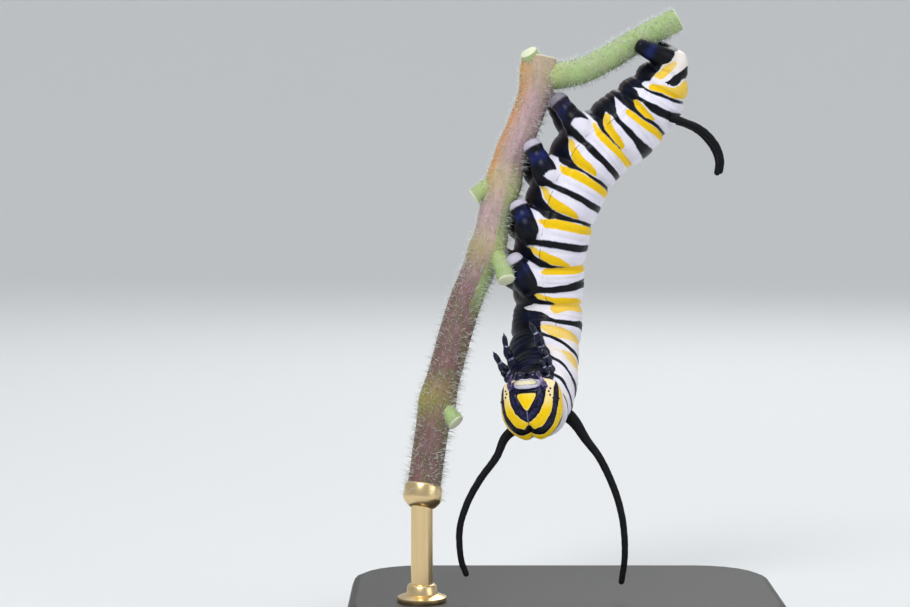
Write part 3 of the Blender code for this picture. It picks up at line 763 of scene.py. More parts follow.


# Markings. Each stripe is a list of (angle from the back, middle, half width), the last two as
# shares of the segment's length. They were read from the photo unwrapped round the body.
BAND = {
    "T1": [(0, 0.55, 0.06), (25, 0.55, 0.22), (40, 0.55, 0.15), (50, 0.60, 0.04), (90, 0.62, 0.07),
           (105, 0.70, 0.10), (112, 0.70, -0.01)],
    "T2": [(0, 0.30, 0.10), (60, 0.33, 0.10), (75, 0.24, 0.06), (90, 0.23, 0.055), (105, 0.26, 0.075),
           (120, 0.32, 0.09), (137, 0.33, 0.07)],
    "T3": [(0, 0.20, 0.10), (60, 0.18, 0.09), (75, 0.16, 0.07), (90, 0.13, 0.045), (105, 0.17, 0.05),
           (120, 0.25, 0.08), (132, 0.31, 0.08), (140, 0.38, 0.12)],
    "A1": [(0, 0.36, 0.09), (60, 0.34, 0.10), (75, 0.32, 0.09), (90, 0.28, 0.11), (105, 0.36, 0.11),
           (120, 0.40, 0.13), (130, 0.50, 0.09), (140, 0.62, 0.08)],
    "A2": [(0, 0.50, 0.10), (60, 0.455, 0.10), (75, 0.386, 0.085), (90, 0.335, 0.085),
           (105, 0.284, 0.09), (115, 0.265, 0.08), (121, 0.29, 0.10)],
    "A3": [(0, 0.58, 0.10), (45, 0.56, 0.11), (60, 0.53, 0.118), (75, 0.485, 0.10), (90, 0.465, 0.097),
           (105, 0.423, 0.078), (117, 0.41, 0.065), (124, 0.43, 0.09), (134, 0.47, 0.14)],
    "A4": [(0, 0.466, 0.08), (60, 0.443, 0.074), (75, 0.453, 0.065), (90, 0.456, 0.055),
           (110, 0.454, 0.052), (125, 0.445, 0.042), (140, 0.447, 0.06), (150, 0.46, 0.13)],
    "A5": [(0, 0.43, 0.085), (60, 0.415, 0.078), (75, 0.444, 0.067), (90, 0.444, 0.067),
           (105, 0.452, 0.058), (125, 0.452, 0.048), (140, 0.47, 0.074), (150, 0.50, 0.13)],
    "A6": [(0, 0.40, 0.11), (60, 0.411, 0.095), (75, 0.423, 0.08), (90, 0.43, 0.085), (105, 0.443, 0.08),
           (115, 0.463, 0.06), (135, 0.462, 0.06), (150, 0.457, 0.085), (170, 0.46, 0.14)],
    "A7": [(0, 0.46, 0.12), (30, 0.45, 0.12), (60, 0.42, 0.09), (75, 0.41, 0.07), (90, 0.386, 0.078),
           (105, 0.36, 0.062), (115, 0.335, 0.065), (125, 0.365, 0.08), (133, 0.40, 0.16)],
    "A8": [(0, 0.56, 0.12), (30, 0.55, 0.12), (60, 0.457, 0.12), (75, 0.384, 0.143), (90, 0.335, 0.15),
           (100, 0.30, 0.105), (110, 0.29, 0.072), (120, 0.23, 0.08), (130, 0.20, 0.25)],
}
FRONT_YELLOW = {
    "A2": [(30, 0.0, 0.05), (90, 0.03, 0.06), (110, 0.04, 0.05), (125, 0.0, 0.05)],
    "A3": [(30, 0.03, 0.03), (60, 0.11, 0.11), (90, 0.12, 0.12), (105, 0.144, 0.097), (120, 0.24, 0.086),
           (133, 0.25, 0.075), (136, 0.25, -0.01)],
    "A4": [(64, 0.05, -0.01), (75, 0.106, 0.045), (90, 0.174, 0.085), (105, 0.21, 0.088),
           (120, 0.277, 0.078), (135, 0.337, 0.042), (144, 0.365, -0.01)],
    "A5": [(64, 0.01, -0.01), (75, 0.067, 0.06), (90, 0.107, 0.08), (105, 0.126, 0.098),
           (115, 0.146, 0.10), (122, 0.193, 0.10), (130, 0.267, 0.092), (140, 0.344, 0.037),
           (146, 0.37, -0.01)],
    "A6": [(68, 0.0, -0.01), (75, 0.047, 0.055), (90, 0.08, 0.09), (105, 0.083, 0.11),
           (115, 0.126, 0.118), (122, 0.18, 0.11), (130, 0.253, 0.09), (140, 0.324, 0.04),
           (146, 0.35, -0.01)],
    "A7": [(70, 0.0, -0.01), (75, 0.054, 0.055), (90, 0.045, 0.094), (105, 0.02, 0.105),
           (115, 0.035, 0.105), (125, 0.094, 0.165), (132, 0.12, 0.14), (139, 0.14, -0.01)],
    "A8": [(70, 0.06, -0.01), (75, 0.05, 0.045), (90, 0.0, 0.12), (105, 0.015, 0.137),
           (115, 0.03, 0.12), (124, 0.07, 0.09), (131, 0.10, -0.01)],
}
REAR_YELLOW = {
    "T3": [(0, 0.90, 0.20), (60, 0.95, 0.20), (90, 0.88, 0.25), (108, 0.85, 0.20), (115, 0.85, -0.01)],
    "A1": [(0, 0.93, 0.12), (60, 0.945, 0.13), (75, 0.93, 0.14), (90, 0.88, 0.18), (105, 0.85, 0.22),
           (115, 0.80, 0.27), (125, 0.82, 0.27), (134, 0.88, 0.18), (140, 0.92, 0.05)],
    "A2": [(0, 0.93, 0.12), (60, 0.94, 0.12), (75, 0.97, 0.11), (90, 0.96, 0.11), (103, 0.90, 0.16),
           (111, 0.87, 0.18), (116, 0.87, -0.01)],
    "A3": [(0, 0.97, 0.10), (60, 0.97, 0.105), (75, 0.98, 0.095), (90, 0.98, 0.09), (100, 0.97, 0.085),
           (110, 0.955, 0.078), (118, 0.94, 0.065), (124, 0.93, -0.01)],
    "A4": [(0, 0.86, 0.095), (30, 0.86, 0.095), (60, 0.837, 0.095), (90, 0.826, 0.095),
           (105, 0.81, 0.09), (120, 0.78, 0.085), (127, 0.79, 0.05), (132, 0.80, -0.01)],
    "A5": [(0, 0.822, 0.09), (90, 0.822, 0.087), (105, 0.82, 0.087), (115, 0.80, 0.08),
           (125, 0.80, 0.08), (133, 0.86, -0.01)],
    "A6": [(0, 1.0, 0.08), (30, 0.98, 0.08), (60, 0.92, 0.083), (75, 0.89, 0.09), (90, 0.83, 0.085),
           (105, 0.80, 0.083), (115, 0.788, 0.07), (127, 0.815, 0.07), (137, 0.86, -0.01)],
    "A7": [(0, 0.94, 0.08), (30, 0.92, 0.078), (60, 0.875, 0.078), (75, 0.82, 0.09), (90, 0.766, 0.078),
           (105, 0.727, 0.08), (115, 0.705, 0.075), (122, 0.70, -0.01)],
    "A9": [(0, 0.50, 0.45), (30, 0.50, 0.44), (45, 0.45, 0.42), (60, 0.27, 0.35), (75, 0.16, 0.24),
           (90, 0.12, 0.22), (105, -0.01, 0.20), (115, -0.09, 0.185), (121, -0.08, -0.02)],
    "A10": [(75, 0.50, -0.05), (83, 0.40, 0.16), (92, 0.24, 0.30), (100, 0.06, 0.38),
            (108, -0.12, 0.40), (114, -0.28, 0.32), (121, -0.42, -0.02)],
}
# Black at the fold in front of each segment: (angle from the back, millimetres behind the fold,
# half width in millimetres)
FOLD_BLACK = {
    "A3": [(101, 0.12, -0.02), (106, 0.17, 0.07), (112, 0.22, 0.14), (122, 0.24, 0.14),
           (130, 0.29, 0.18), (136, 0.45, 0.30)],
    "A4": [(76, 0.16, -0.01), (82, 0.18, 0.03), (92, 0.20, 0.045), (101, 0.19, 0.09), (110, 0.25, 0.16),
           (120, 0.33, 0.21), (130, 0.48, 0.20), (140, 0.68, 0.27)],
    "A5": [(0, -0.01, 0.10), (60, -0.04, 0.10), (75, -0.08, 0.10), (90, -0.10, 0.12), (105, -0.10, 0.16),
           (115, -0.12, 0.26), (125, -0.01, 0.31), (135, 0.16, 0.34), (145, 0.40, 0.50)],
    "A6": [(0, -0.11, 0.13), (60, -0.13, 0.12), (75, -0.15, 0.09), (90, -0.14, 0.06), (105, -0.16, 0.10),
           (115, -0.16, 0.18), (125, -0.06, 0.27), (135, 0.13, 0.40), (145, 0.40, 0.49)],
    "A7": [(70, -0.03, -0.01), (76, -0.05, 0.03), (90, -0.17, 0.045), (105, -0.23, 0.065),
           (115, -0.26, 0.10), (125, -0.19, 0.13), (132, -0.09, 0.18), (140, 0.10, 0.40)],
    "A8": [(0, 0.0, 0.06), (45, 0.0, 0.06), (60, -0.01, 0.08), (75, -0.08, 0.10), (90, -0.27, 0.08),
           (105, -0.31, 0.11), (115, -0.33, 0.18), (123, -0.28, 0.30)],
    "A9": [(0, -0.09, 0.05), (30, -0.09, 0.05), (60, -0.17, 0.08), (75, -0.20, 0.07), (90, -0.24, 0.10),
           (105, -0.36, 0.09), (115, -0.45, 0.10), (125, -0.50, 0.15), (135, -0.60, 0.20)],
    "A10": [(0, 0.36, 0.33), (30, 0.36, 0.32), (45, 0.21, 0.28), (60, 0.0, 0.33), (70, -0.22, 0.31),
            (80, -0.43, 0.26), (90, -0.64, 0.14), (97, -0.76, 0.06), (105, -0.80, 0.015),
            (112, -0.80, -0.02)],
}
# Where the black belly starts: (share along the segment, angle from the back)
BELLY = {
    "T1": [(0, 128), (1, 134)],
    "T2": [(0, 136), (0.33, 135), (1, 138)],
    "T3": [(0, 138), (1, 140)],
    "A1": [(0, 138), (1, 141)],
    "A2": [(0, 141), (0.18, 138), (0.25, 124), (0.45, 123), (0.65, 127), (0.80, 133), (0.84, 158),
           (0.95, 165), (1, 150)],
    "A3": [(0, 150), (0.10, 136), (0.30, 134), (0.36, 125), (0.45, 124), (0.55, 133), (0.65, 137),
           (0.80, 136), (1, 139)],
    "A4": [(0, 139), (0.20, 140), (0.36, 145), (0.45, 141), (0.52, 147), (0.58, 157), (0.68, 151),
           (0.80, 148), (1, 150)],
    "A5": [(0, 150), (0.20, 141), (0.38, 147), (0.47, 141), (0.55, 147), (0.65, 153), (0.75, 160),
           (0.90, 166), (1, 170)],
    "A6": [(0, 165), (0.10, 142), (0.20, 142), (0.36, 147), (0.45, 160), (0.52, 176), (0.60, 186),
           (0.97, 186), (1, 175)],
    "A7": [(0, 172), (0.04, 140), (0.25, 139), (0.38, 133), (0.45, 131), (0.55, 134), (0.68, 147),
           (0.78, 166), (0.88, 166), (0.93, 140), (1, 128)],
    "A8": [(0, 124), (0.10, 131), (0.22, 126), (0.33, 140), (0.45, 144), (0.56, 137), (0.65, 129),
           (0.78, 124), (0.86, 135), (1, 136)],
    "A9": [(0, 136), (0.10, 126), (0.20, 121), (1, 118)],
    "A10": [(0, 118), (1, 110)],
}
# Angle of the thin line along each side, below the breathing holes
SIDE_LINE = {"A2": 113, "A3": 116, "A4": 121, "A5": 123, "A6": 123, "A7": 120}
# How much narrower each side of a yellow stripe is where that line crosses it, in millimetres
YELLOW_WAIST = 0.08
# How cream the pale skin of each front segment is
CREAM_SHARE = {"T1": 0.45, "T2": 0.22, "T3": 0.45, "A1": 0.35, "A2": 0.15}
# Stands for a place far outside a marking
NONE = -1.0


def stripe(angle, along, length, points):
    """Millimetres inside the stripe, for points at an angle and a place along their segment."""
    points = np.array(points, float)
    centre = np.interp(angle, points[:, 0], points[:, 1])
    half = np.interp(angle, points[:, 0], points[:, 2])
    inside = (half - np.abs(along - centre)) * length
    before = points[0, 0] - angle
    return np.where(before > 0, np.minimum(inside, -before * 0.035), inside)


def body_markings(run, angle):
    """Millimetres inside the black, the yellow and the side line, and shares of two tints."""
    turn = np.abs(angle)
    degree = math.radians(1) * AXIS.at(run)[4]
    black = np.full(len(run), NONE)
    yellow = np.full(len(run), NONE)
    line = np.full(len(run), NONE)
    cream = np.zeros(len(run))
    under = np.zeros(len(run))
    for number, name in enumerate(AXIS.names):
        front, back = AXIS.folds[number], AXIS.folds[number + 1]
        length = back - front
        along = (run - front) / length
        near = (along > -0.45) & (along < 1.35)
        for stripes in (FRONT_YELLOW, REAR_YELLOW):
            if name in stripes:
                inside = stripe(turn, along, length, stripes[name])
                if name in SIDE_LINE:
                    inside = inside - YELLOW_WAIST * bump(turn, SIDE_LINE[name] + 2, 3.5)
                yellow = np.maximum(yellow, np.where(near, inside, NONE))
        if name in BAND:
            black = np.maximum(black, np.where(near, stripe(turn, along, length, BAND[name]), NONE))
        if name in FOLD_BLACK:
            inside = stripe(turn, run - front, 1.0, FOLD_BLACK[name])
            black = np.maximum(black, np.where(near, inside, NONE))
        if name in SIDE_LINE:
            off = np.abs(turn - SIDE_LINE[name]) * degree
            front_part = np.minimum(0.030 - off, (0.17 - np.abs(along - 0.20)) * length)
            rear_part = np.minimum(0.013 - off, (0.20 - np.abs(along - 0.75)) * length)
            line = np.maximum(line, np.maximum(front_part, rear_part))
            below = smoothstep(SIDE_LINE[name] - 2, SIDE_LINE[name] + 10, turn)
            under = np.where((along >= 0) & (along < 1), below, under)
        if name in CREAM_SHARE:
            amount = CREAM_SHARE[name] * bump(along, 0.85, 0.40)
            cream = np.where((along > -0.1) & (along < 1.1), np.maximum(cream, amount), cream)
        if name in ("A9", "A10"):
            most = 0.40 if name == "A10" else 0.15
            cream = np.where(along > 0, np.maximum(cream, most * smoothstep(0, 0.4, along)), cream)
    places = [AXIS.point_at(name, share) for name, limits in BELLY.items() for share, _ in limits]
    starts = [start for limits in BELLY.values() for _, start in limits]
    black = np.maximum(black, (turn - np.interp(run, places, starts)) * degree)
    return {"black": black, "yellow": yellow, "line": line, "cream": cream, "under": under}


SIDE_GROOVE = 112.0
BELLY_GROOVE = 150.0
FOLD_DEPTH = 0.17
FRONT_FOLD_DEPTH = 0.13
# Fine creases across each segment: place along it, and depth
CREASES = ((0.33, 0.036), (0.60, 0.046), (0.76, 0.032))


def body_relief(run, angle, points):
    """How far the skin stands out from the plain tube, in millimetres."""
    turn = np.abs(angle)
    relief = np.zeros(len(run))
    wide = 0.20 + 0.05 * smoothstep(90, 140, turn)
    for number in range(1, len(AXIS.folds) - 1):
        depth = FOLD_DEPTH if number > 3 else FRONT_FOLD_DEPTH
        relief -= depth * np.exp(-np.abs((run - AXIS.folds[number]) / wide) ** 1.6)
    for number, name in enumerate(AXIS.names):
        if name in ("T1", "A10"):
            continue
        front, back = AXIS.folds[number], AXIS.folds[number + 1]
        along = (run - front) / (back - front)
        side = bump(turn, 122, 14)
        for place, depth in CREASES:
            relief -= depth * bump(along, place, 0.035) * (1 - 0.7 * side)
        relief += 0.06 * side * bump(along, 0.30, 0.25)
        relief += 0.07 * side * bump(along, 0.76, 0.16)
        relief += 0.03 * bump(along, 0.5, 0.35)
    behind_thorax = smoothstep(5.0, 8.0, run)
    relief -= 0.05 * bump(turn, SIDE_GROOVE, 4) * behind_thorax
    relief -= 0.04 * bump(turn, BELLY_GROOVE, 8) * behind_thorax
    relief += 0.012 * speckle(points, 1.3, 1.0, 3)
    return relief


def skin_surface(shapes):
    """One closed surface round all the shapes, in millimetres."""
    points, faces = join_shapes(shapes)
    rough = bpy.data.meshes.new("skin_rough")
    rough.from_pydata(points.tolist(), [], faces)
    maker = add_object("skin_rough", rough)
    remesh = maker.modifiers.new("skin", "REMESH")
    remesh.mode = "VOXEL"
    remesh.voxel_size = SKIN_VOXEL
    bpy.context.view_layer.update()
    graph = bpy.context.evaluated_depsgraph_get()
    mesh = bpy.data.meshes.new_from_object(maker.evaluated_get(graph))
    bpy.data.objects.remove(maker, do_unlink=True)
    return mesh


def smooth_skin(mesh, points, fillet, rise):
    """Evens out the surface, most of all where a leg meets the body."""
    edges = read_rows(mesh.edges, "vertices", 2, int)
    ties = np.bincount(edges.ravel(), minlength=len(points))[:, None]
    weight = 0.5 * np.maximum(fillet * bump(rise, 0.0, 0.45), 0.12)[:, None]
    for _ in range(SKIN_SMOOTHINGS):
        pulled = np.zeros_like(points)
        np.add.at(pulled, edges[:, 0], points[edges[:, 1]])
        np.add.at(pulled, edges[:, 1], points[edges[:, 0]])
        points = points * (1 - weight) + pulled / ties * weight
    return points


def limb_markings(marks, limbs, points, rise, headward):
    """Adds the fleshy legs' black, their painted bluish sheen and their pale pads to the body's
    markings.
    """
    for limb in limbs:
        share, gap, offset = limb.locate(points)
        belongs = (1 - smoothstep(0.10, 0.30, gap)) * smoothstep(0.10, 0.35, rise)
        from_middle = np.minimum(np.abs((offset * headward).sum(1)) / 0.62, 1.0)
        start = limb.black_from - 0.13 * from_middle**2
        inside = np.minimum((belongs - 0.5) * 0.4, (share - start) * limb.length)
        marks["black"] = np.maximum(marks["black"], np.where(belongs > 0.1, inside, NONE))
        # Painted reflection: a band of bluish sheen round each fleshy leg
        marks["blue"] = np.maximum(marks["blue"], 0.6 * belongs * bump(share, 0.70, 0.11))
        marks["pad"] = np.maximum(marks["pad"], limb.pad * belongs * smoothstep(0.90, 0.94, share))


def build_skin():
    """Body, prolegs and claspers as one skin without seams."""
    limbs = make_limbs()
    mesh = skin_surface([body_shape()] + [limb.shape for limb in limbs])
    points = read_rows(mesh.vertices, "co", 3)
    run, _, away, _, _ = AXIS.locate(points)
    limb_near = np.min([limb.locate(points)[1] for limb in limbs], axis=0)
    fillet = 1 - smoothstep(0.05, 0.45, limb_near)
    points = smooth_skin(mesh, points, fillet, away - body_radius(run))

    run, angle, away, centre, headward = AXIS.locate(points)
    plain = body_radius(run)
    outward = unit(points - centre)
    on_body = (1 - smoothstep(0.03, 0.20, away - plain)) * (1 - fillet)
    at_end = smoothstep(AXIS.folds[-1] - 0.9, AXIS.folds[-1] - 0.5, run)
    at_end = np.maximum(at_end, 1 - smoothstep(AXIS.folds[0] + 0.1, AXIS.folds[0] + 0.5, run))
    hold = on_body * (1 - at_end)
    relief = body_relief(run, angle, points)
    target = plain + relief
    moved = away + hold * (target - away) + (1 - hold) * np.minimum(relief, 0) * on_body
    points = points + outward * (moved - away)[:, None]

    marks = body_markings(run, angle)
    marks["pad"] = np.zeros(len(points))
    # Painted reflection: a faint bluish sheen over the black of the belly
    marks["blue"] = 0.12 * smoothstep(125, 150, np.abs(angle))
    limb_markings(marks, limbs, points, away - plain, headward)
    under_belly = smoothstep(150, 170, np.abs(angle)) * smoothstep(7.0, 9.0, run)
    marks["brown"] = under_belly * (1 - marks["blue"])
    mesh.vertices.foreach_set("co", (points * MM).ravel())
    mesh.update()
    set_values(mesh, **marks)
    flesh = ["thorax", "abdomen_front", "abdomen_middle", "abdomen_rear"] + [limb.name for limb in limbs]
    place_piece("body_skin", mesh, skin_material(), flesh)


# Head

# Edges of the face's stripes: angle from the front of the face, at angles from the crown. They were
# typed after a scratch script had turned points picked by eye in the photo into such angles.
ROUND = (0, 7, 14, 28, 38, 50, 66, 75, 90, 98, 106, 120, 134, 150, 165, 180)
STRIPE_EDGES = {
    "dark_v": (23.5, 23, 22.3, 20.6, 20.8, 21, 21.5, 24.3, 26.5, 29, 32.5, 38.8, 47.5, 62, 76, 80),
    "inner_yellow": (30, 31, 39.5, 39.5, 42.5, 42.5, 43, 46, 49.5, 52, 54, 60, 68, 92, 90, 80),
    "dark_ring": (54.5, 53.5, 55, 62.5, 62, 62.5, 62.3, 62, 65, 69.5, 73.5, 79, 87, 100, 100, 100),
    "outer_yellow": (75, 79, 83.5, 82.5, 81, 81.5, 82.5, 90, 100, 100, 100, 98, 98, 100, 100, 100),
}
FRONS_TOP = 0.155
FRONS_BOTTOM = -0.90
FRONS_HALF = 0.64
FRONS_CORNER = 0.11
# A middling radius of the head, in millimetres, that turns angles on it into lengths
FACE_RADIUS = 1.5
LABRUM_PLACE = (0.0, 0.98, -1.46)
LABRUM_HALF_WIDTH = 0.77
LABRUM_NOTCH = 0.09
LABRUM_BEND = 0.20


def head_frame():
    forward = turn_to_world(HEAD_FORWARD)
    crown = turn_to_world(HEAD_CROWN)
    crown = unit(crown - crown.dot(forward) * forward)
    return to_world(HEAD_CENTRE), np.cross(forward, crown), forward, crown


HEAD_OWN = head_frame()


def head_place(right, ahead, up):
    """A place in the head's own directions, in world millimetres."""
    centre, side, forward, crown = HEAD_OWN
    return centre + side * right + forward * ahead + crown * up


def jaw_widening(height):
    """How much wider than an egg the capsule is, from 1 over the crown to the square jaws."""
    low = np.clip(-height, 0, 0.999)
    square = (1 - low**JAW_POWER) ** JAW_SHARE
    return np.minimum(JAW_LIMIT, square / np.sqrt(1 - low**2))


def head_surface(x, y, z):
    """Place on the capsule in its own directions, from a direction from its middle."""
    groove = 1 - 0.10 * np.exp(-((x / 0.16) ** 2)) * np.maximum(0.0, z) ** 1.5
    return (
        HEAD_HALF[0] * jaw_widening(z) * x,
        HEAD_HALF[1] * y * groove,
        HEAD_HALF[2] * z * groove,
    )


def frons_inside(x, z):
    """Millimetres inside the yellow triangle of the face, with soft corners."""
    slant = unit(np.array([FRONS_TOP - FRONS_BOTTOM, FRONS_HALF]))
    right = x * slant[0] + (z - FRONS_TOP) * slant[1]
    left = -x * slant[0] + (z - FRONS_TOP) * slant[1]
    low = FRONS_BOTTOM - z
    return -FRONS_CORNER * np.log(sum(np.exp(edge / FRONS_CORNER) for edge in (right, left, low)))


def build_head():
    down, around = 200, 320
    tilt, turns = ball_angles(down, around)
    x = np.sin(tilt) * np.sin(turns)
    y = np.cos(tilt)
    z = np.sin(tilt) * np.cos(turns)
    right, ahead, up = head_surface(x, y, z)
    phi = np.abs(np.degrees((turns + math.pi) % (2 * math.pi) - math.pi))
    alpha = np.degrees(tilt)
    edges = {name: np.interp(phi, ROUND, values) for name, values in STRIPE_EDGES.items()}
    degree = math.radians(1) * FACE_RADIUS
    inner = np.minimum(alpha - edges["dark_v"], edges["inner_yellow"] - alpha) * degree
    outer = np.minimum(alpha - edges["dark_ring"], edges["outer_yellow"] - alpha) * degree
    midline = np.abs(right)
    inner = np.minimum(inner, midline - 0.018)
    frons = np.where(y > 0, frons_inside(right, up), NONE)
    suture = np.minimum(0.016 - midline, np.minimum(up - 0.06, 0.64 - up))
    in_ring = (alpha > edges["inner_yellow"]) * (alpha < edges["dark_ring"])

    lift = 0.018 * smoothstep(-0.02, 0.05, frons)
    lift -= 0.035 * bump(frons, -0.05, 0.03) * (y > 0)
    lift -= 0.05 * bump(midline, 0.0, 0.05) * smoothstep(0.1, 0.3, up) * (y > -0.6)
    lift -= 0.05 * bump(midline, 0.0, 0.16) * smoothstep(0.6, 1.2, up)
    lift += 0.010 * smoothstep(-0.01, 0.03, np.maximum(inner, outer))
    points = head_place(right[:, None], ahead[:, None], up[:, None])
    lift += 0.008 * speckle(points, 5.0, 2.0, 3)
    points = points + unit(points - HEAD_OWN[0]) * lift[:, None]
    mesh = face_out(mesh_from("head_capsule", points, ring_faces(down, around)))
    set_values(
        mesh,
        yellow=np.maximum(np.maximum(inner, outer), frons),
        cream=0.65 * smoothstep(85, 135, phi) * (alpha > 20) * (inner > -0.1),
        # Painted reflection: where the face's black carries the bluish sheen, in the dark V and the
        # ring's sides
        blue=np.maximum((alpha < edges["dark_v"]) * 1.0, 0.8 * smoothstep(20, 60, phi) * in_ring),
        pale=np.where(y > 0, suture, NONE),
    )
    place_piece("head_capsule", mesh, head_material(), ["head"])
    build_labrum()
    build_mouthparts()
    build_antennae()
    build_eyelets()


def head_egg(place, half, around=32, down=20, dent=None):
    """An egg-shaped lump at a place on the head, along the head's own directions."""
    slope, turn = ball_angles(down, around)
    local = np.stack([np.sin(slope) * np.cos(turn), np.sin(slope) * np.sin(turn), np.cos(slope)], 1)
    if dent:
        local = dent(local)
    own = HEAD_OWN[1:]
    points = head_place(*place) + sum((local[:, i] * half[i])[:, None] * own[i] for i in range(3))
    return points, ring_faces(down, around)


def build_labrum():
    """The upper lip: a bent plate with a shallow notch on the mouth's side, paler round its rim."""
    rows, columns = 40, 72
    _, side, forward, crown = HEAD_OWN
    out = unit(forward * 0.80 - crown * 0.60)
    up = unit(crown * 0.80 + forward * 0.60)
    slope, turn = ball_angles(rows, columns)
    u = np.sin(slope) * np.cos(turn)
    v = np.sin(slope) * np.sin(turn)
    w = np.cos(slope)
    wide = LABRUM_HALF_WIDTH * np.sign(u) * np.abs(u) ** 0.8
    tall = np.where(v > 0, 0.33, 0.35) * np.sign(v) * np.abs(v) ** 0.85
    notch = LABRUM_NOTCH * bump(u, 0.0, 0.22) * np.maximum(0.0, -v)
    high = tall + notch + 0.05 - LABRUM_BEND * u**2
    deep = 0.17 * w - 0.30 * u * u - 0.03 * (1 - np.abs(v))
    points = head_place(*LABRUM_PLACE) + wide[:, None] * side + high[:, None] * up + deep[:, None] * out
    mesh = face_out(mesh_from("labrum", points, ring_faces(rows, columns)))
    bar = np.hypot(np.maximum(np.abs(wide) - 0.40, 0), (high - 0.08 + LABRUM_BEND * u**2) * 1.15)
    set_values(mesh, middle=np.where(w > 0, 0.18 - bar, NONE))
    place_piece("labrum", mesh, labrum_material())


def saw_edge(local):
    """Shallow teeth along the lower edge of a lump."""
    local = local.copy()
    local[:, 2] -= 0.10 * np.cos(local[:, 0] * 16) * smoothstep(0.3, 1.0, -local[:, 2])
    return local


def head_tube(joints, radii, sides, hand=1):
    """A rod through places on the head: right or left, ahead, and towards the crown."""
    places = [head_place(hand * right, ahead, up) for right, ahead, up in joints]
    return Tube(even_path(places, len(radii)), radii, sides).shape


def build_mouthparts():
    spinneret = [(0, 0.50, -1.86), (0, 0.72, -1.94), (0, 0.92, -1.95)]
    palp = [(0.52, 0.42, -1.86), (0.56, 0.66, -1.97), (0.50, 0.86, -1.95)]
    shapes = [
        head_egg((0, 0.38, -1.67), (0.58, 0.40, 0.32)),
        head_tube(spinneret, np.linspace(0.10, 0.05, 16), 16),
    ]
    for hand in HANDS.values():
        shapes.append(head_egg((hand * 0.36, 0.58, -1.77), (0.38, 0.38, 0.30), 48, 28, saw_edge))
        shapes.append(head_egg((hand * 0.50, 0.30, -1.73), (0.24, 0.32, 0.34)))
        shapes.append(head_tube(palp, np.linspace(0.13, 0.06, 24), 16, hand))
    place_shapes("mouthparts", shapes, horn_material("jaw"))


def build_antennae():
    share = np.linspace(0, 1, 60)
    radii = 0.15 - 0.04 * smoothstep(0.36, 0.40, share) - 0.05 * smoothstep(0.72, 0.76, share)
    radii -= 0.02 * bump(share, 0.38, 0.025) + 0.02 * bump(share, 0.74, 0.025)
    joints = [(0.98, 0.66, -1.18), (0.90, 1.00, -1.52), (0.70, 1.22, -1.90)]
    feelers = [head_tube(joints, radii, 24, hand) for hand in HANDS.values()]
    sockets = [head_egg((hand * 0.98, 0.60, -1.12), (0.20, 0.17, 0.18)) for hand in HANDS.values()]
    pale = horn_material("socket", (0.80, 0.72, 0.76), (0.62, 0.56, 0.64))
    place_shapes("antennae", feelers, antenna_material())
    place_shapes("antenna_sockets", sockets, pale)


def cheek(ahead, up):
    """How far the capsule reaches to the side, at a place ahead of and above its middle."""
    deep = ahead / HEAD_HALF[1]
    high = up / HEAD_HALF[2]
    return HEAD_HALF[0] * jaw_widening(high) * math.sqrt(1 - deep**2 - high**2)


def build_eyelets():
    shapes = []
    for hand in HANDS.values():
        for number in range(6):
            turn = math.radians(28 + 36 * number)
            ahead = 0.50 + 0.28 * math.sin(turn)
            up = -0.78 - 0.32 * math.cos(turn)
            spot = (hand * cheek(ahead, up), ahead, up)
            shapes.append(head_egg(spot, (0.06, 0.06, 0.06), 20, 12))
    place_shapes("eyelets", shapes, horn_material("eye"))


# Legs and filaments

def build_legs():
    material = horn_material()
    share = np.linspace(0, 1, 90)
    joints = 1 - 0.13 * np.cos(share * 3 * 2 * math.pi)
    for row, (segment, share_along, spread, thick, right_tip, left_tip) in LEGS.items():
        centre, headward, belly, side, radius = AXIS.spot(segment, share_along)
        for name, (reach, aside, lean) in (("left", left_tip), ("right", right_tip)):
            hand = HANDS[name]
            outward = way_out(belly, side, hand, spread)
            root = centre + outward * radius * 0.85
            tip = centre + belly * (radius + reach) + side * hand * aside + headward * lean
            knee = (root + tip) / 2 + outward * 0.18
            radii = np.maximum(LEG_END_RADIUS, (thick + (LEG_END_RADIUS - thick) * share) * joints)
            radii = (radii - SKIN_INSET) * (1 - 0.75 * smoothstep(0.90, 1.0, share))
            tube = Tube(even_path([root, knee, tip], 90), radii, 32)
            mesh = face_out(mesh_from("leg", *tube.shape))
            # Rings at the leg's joints, where the painted glints and pale membranes go
            between = smoothstep(0.86, 1.0, np.cos(tube.share * 3 * 2 * math.pi))
            set_values(mesh, joint=between * (tube.share > 0.1) * (tube.share < 0.9))
            place_piece(f"leg_{row}_{name}", mesh, material, [f"leg_{row}_{name}"])


def build_filaments():
    material = velvet_material()
    share = np.linspace(0, 1, 160)
    for place, paths, root, shank, tip in (
        ("front", FRONT_FILAMENTS, 0.42, 0.235, 0.165),
        ("rear", REAR_FILAMENTS, 0.33, 0.235, 0.175),
    ):
        radii = shank + (tip - shank) * share + (root - shank) * bump(share, 0.0, 0.17)
        for name, path in paths.items():
            tube = Tube(even_path(to_world(path), 160), radii, 32)
            lift = 0.012 * speckle(tube.points, 4.0, 3.0, 2)
            ring = tube.points.reshape(tube.rows, tube.sides, 3)
            outward = unit(ring - ring.mean(1, keepdims=True)).reshape(-1, 3)
            mesh = face_out(mesh_from("filament", tube.points + outward * lift[:, None], tube.faces))
            node = f"filament_{place}_{name}"
            place_piece(node, mesh, material, [node])


# Perch

STEM_RADIUS = 0.92
STALK_RADIUS = 0.66
HAIR_RADIUS = 0.013
HAIR_PATCH = 0.003
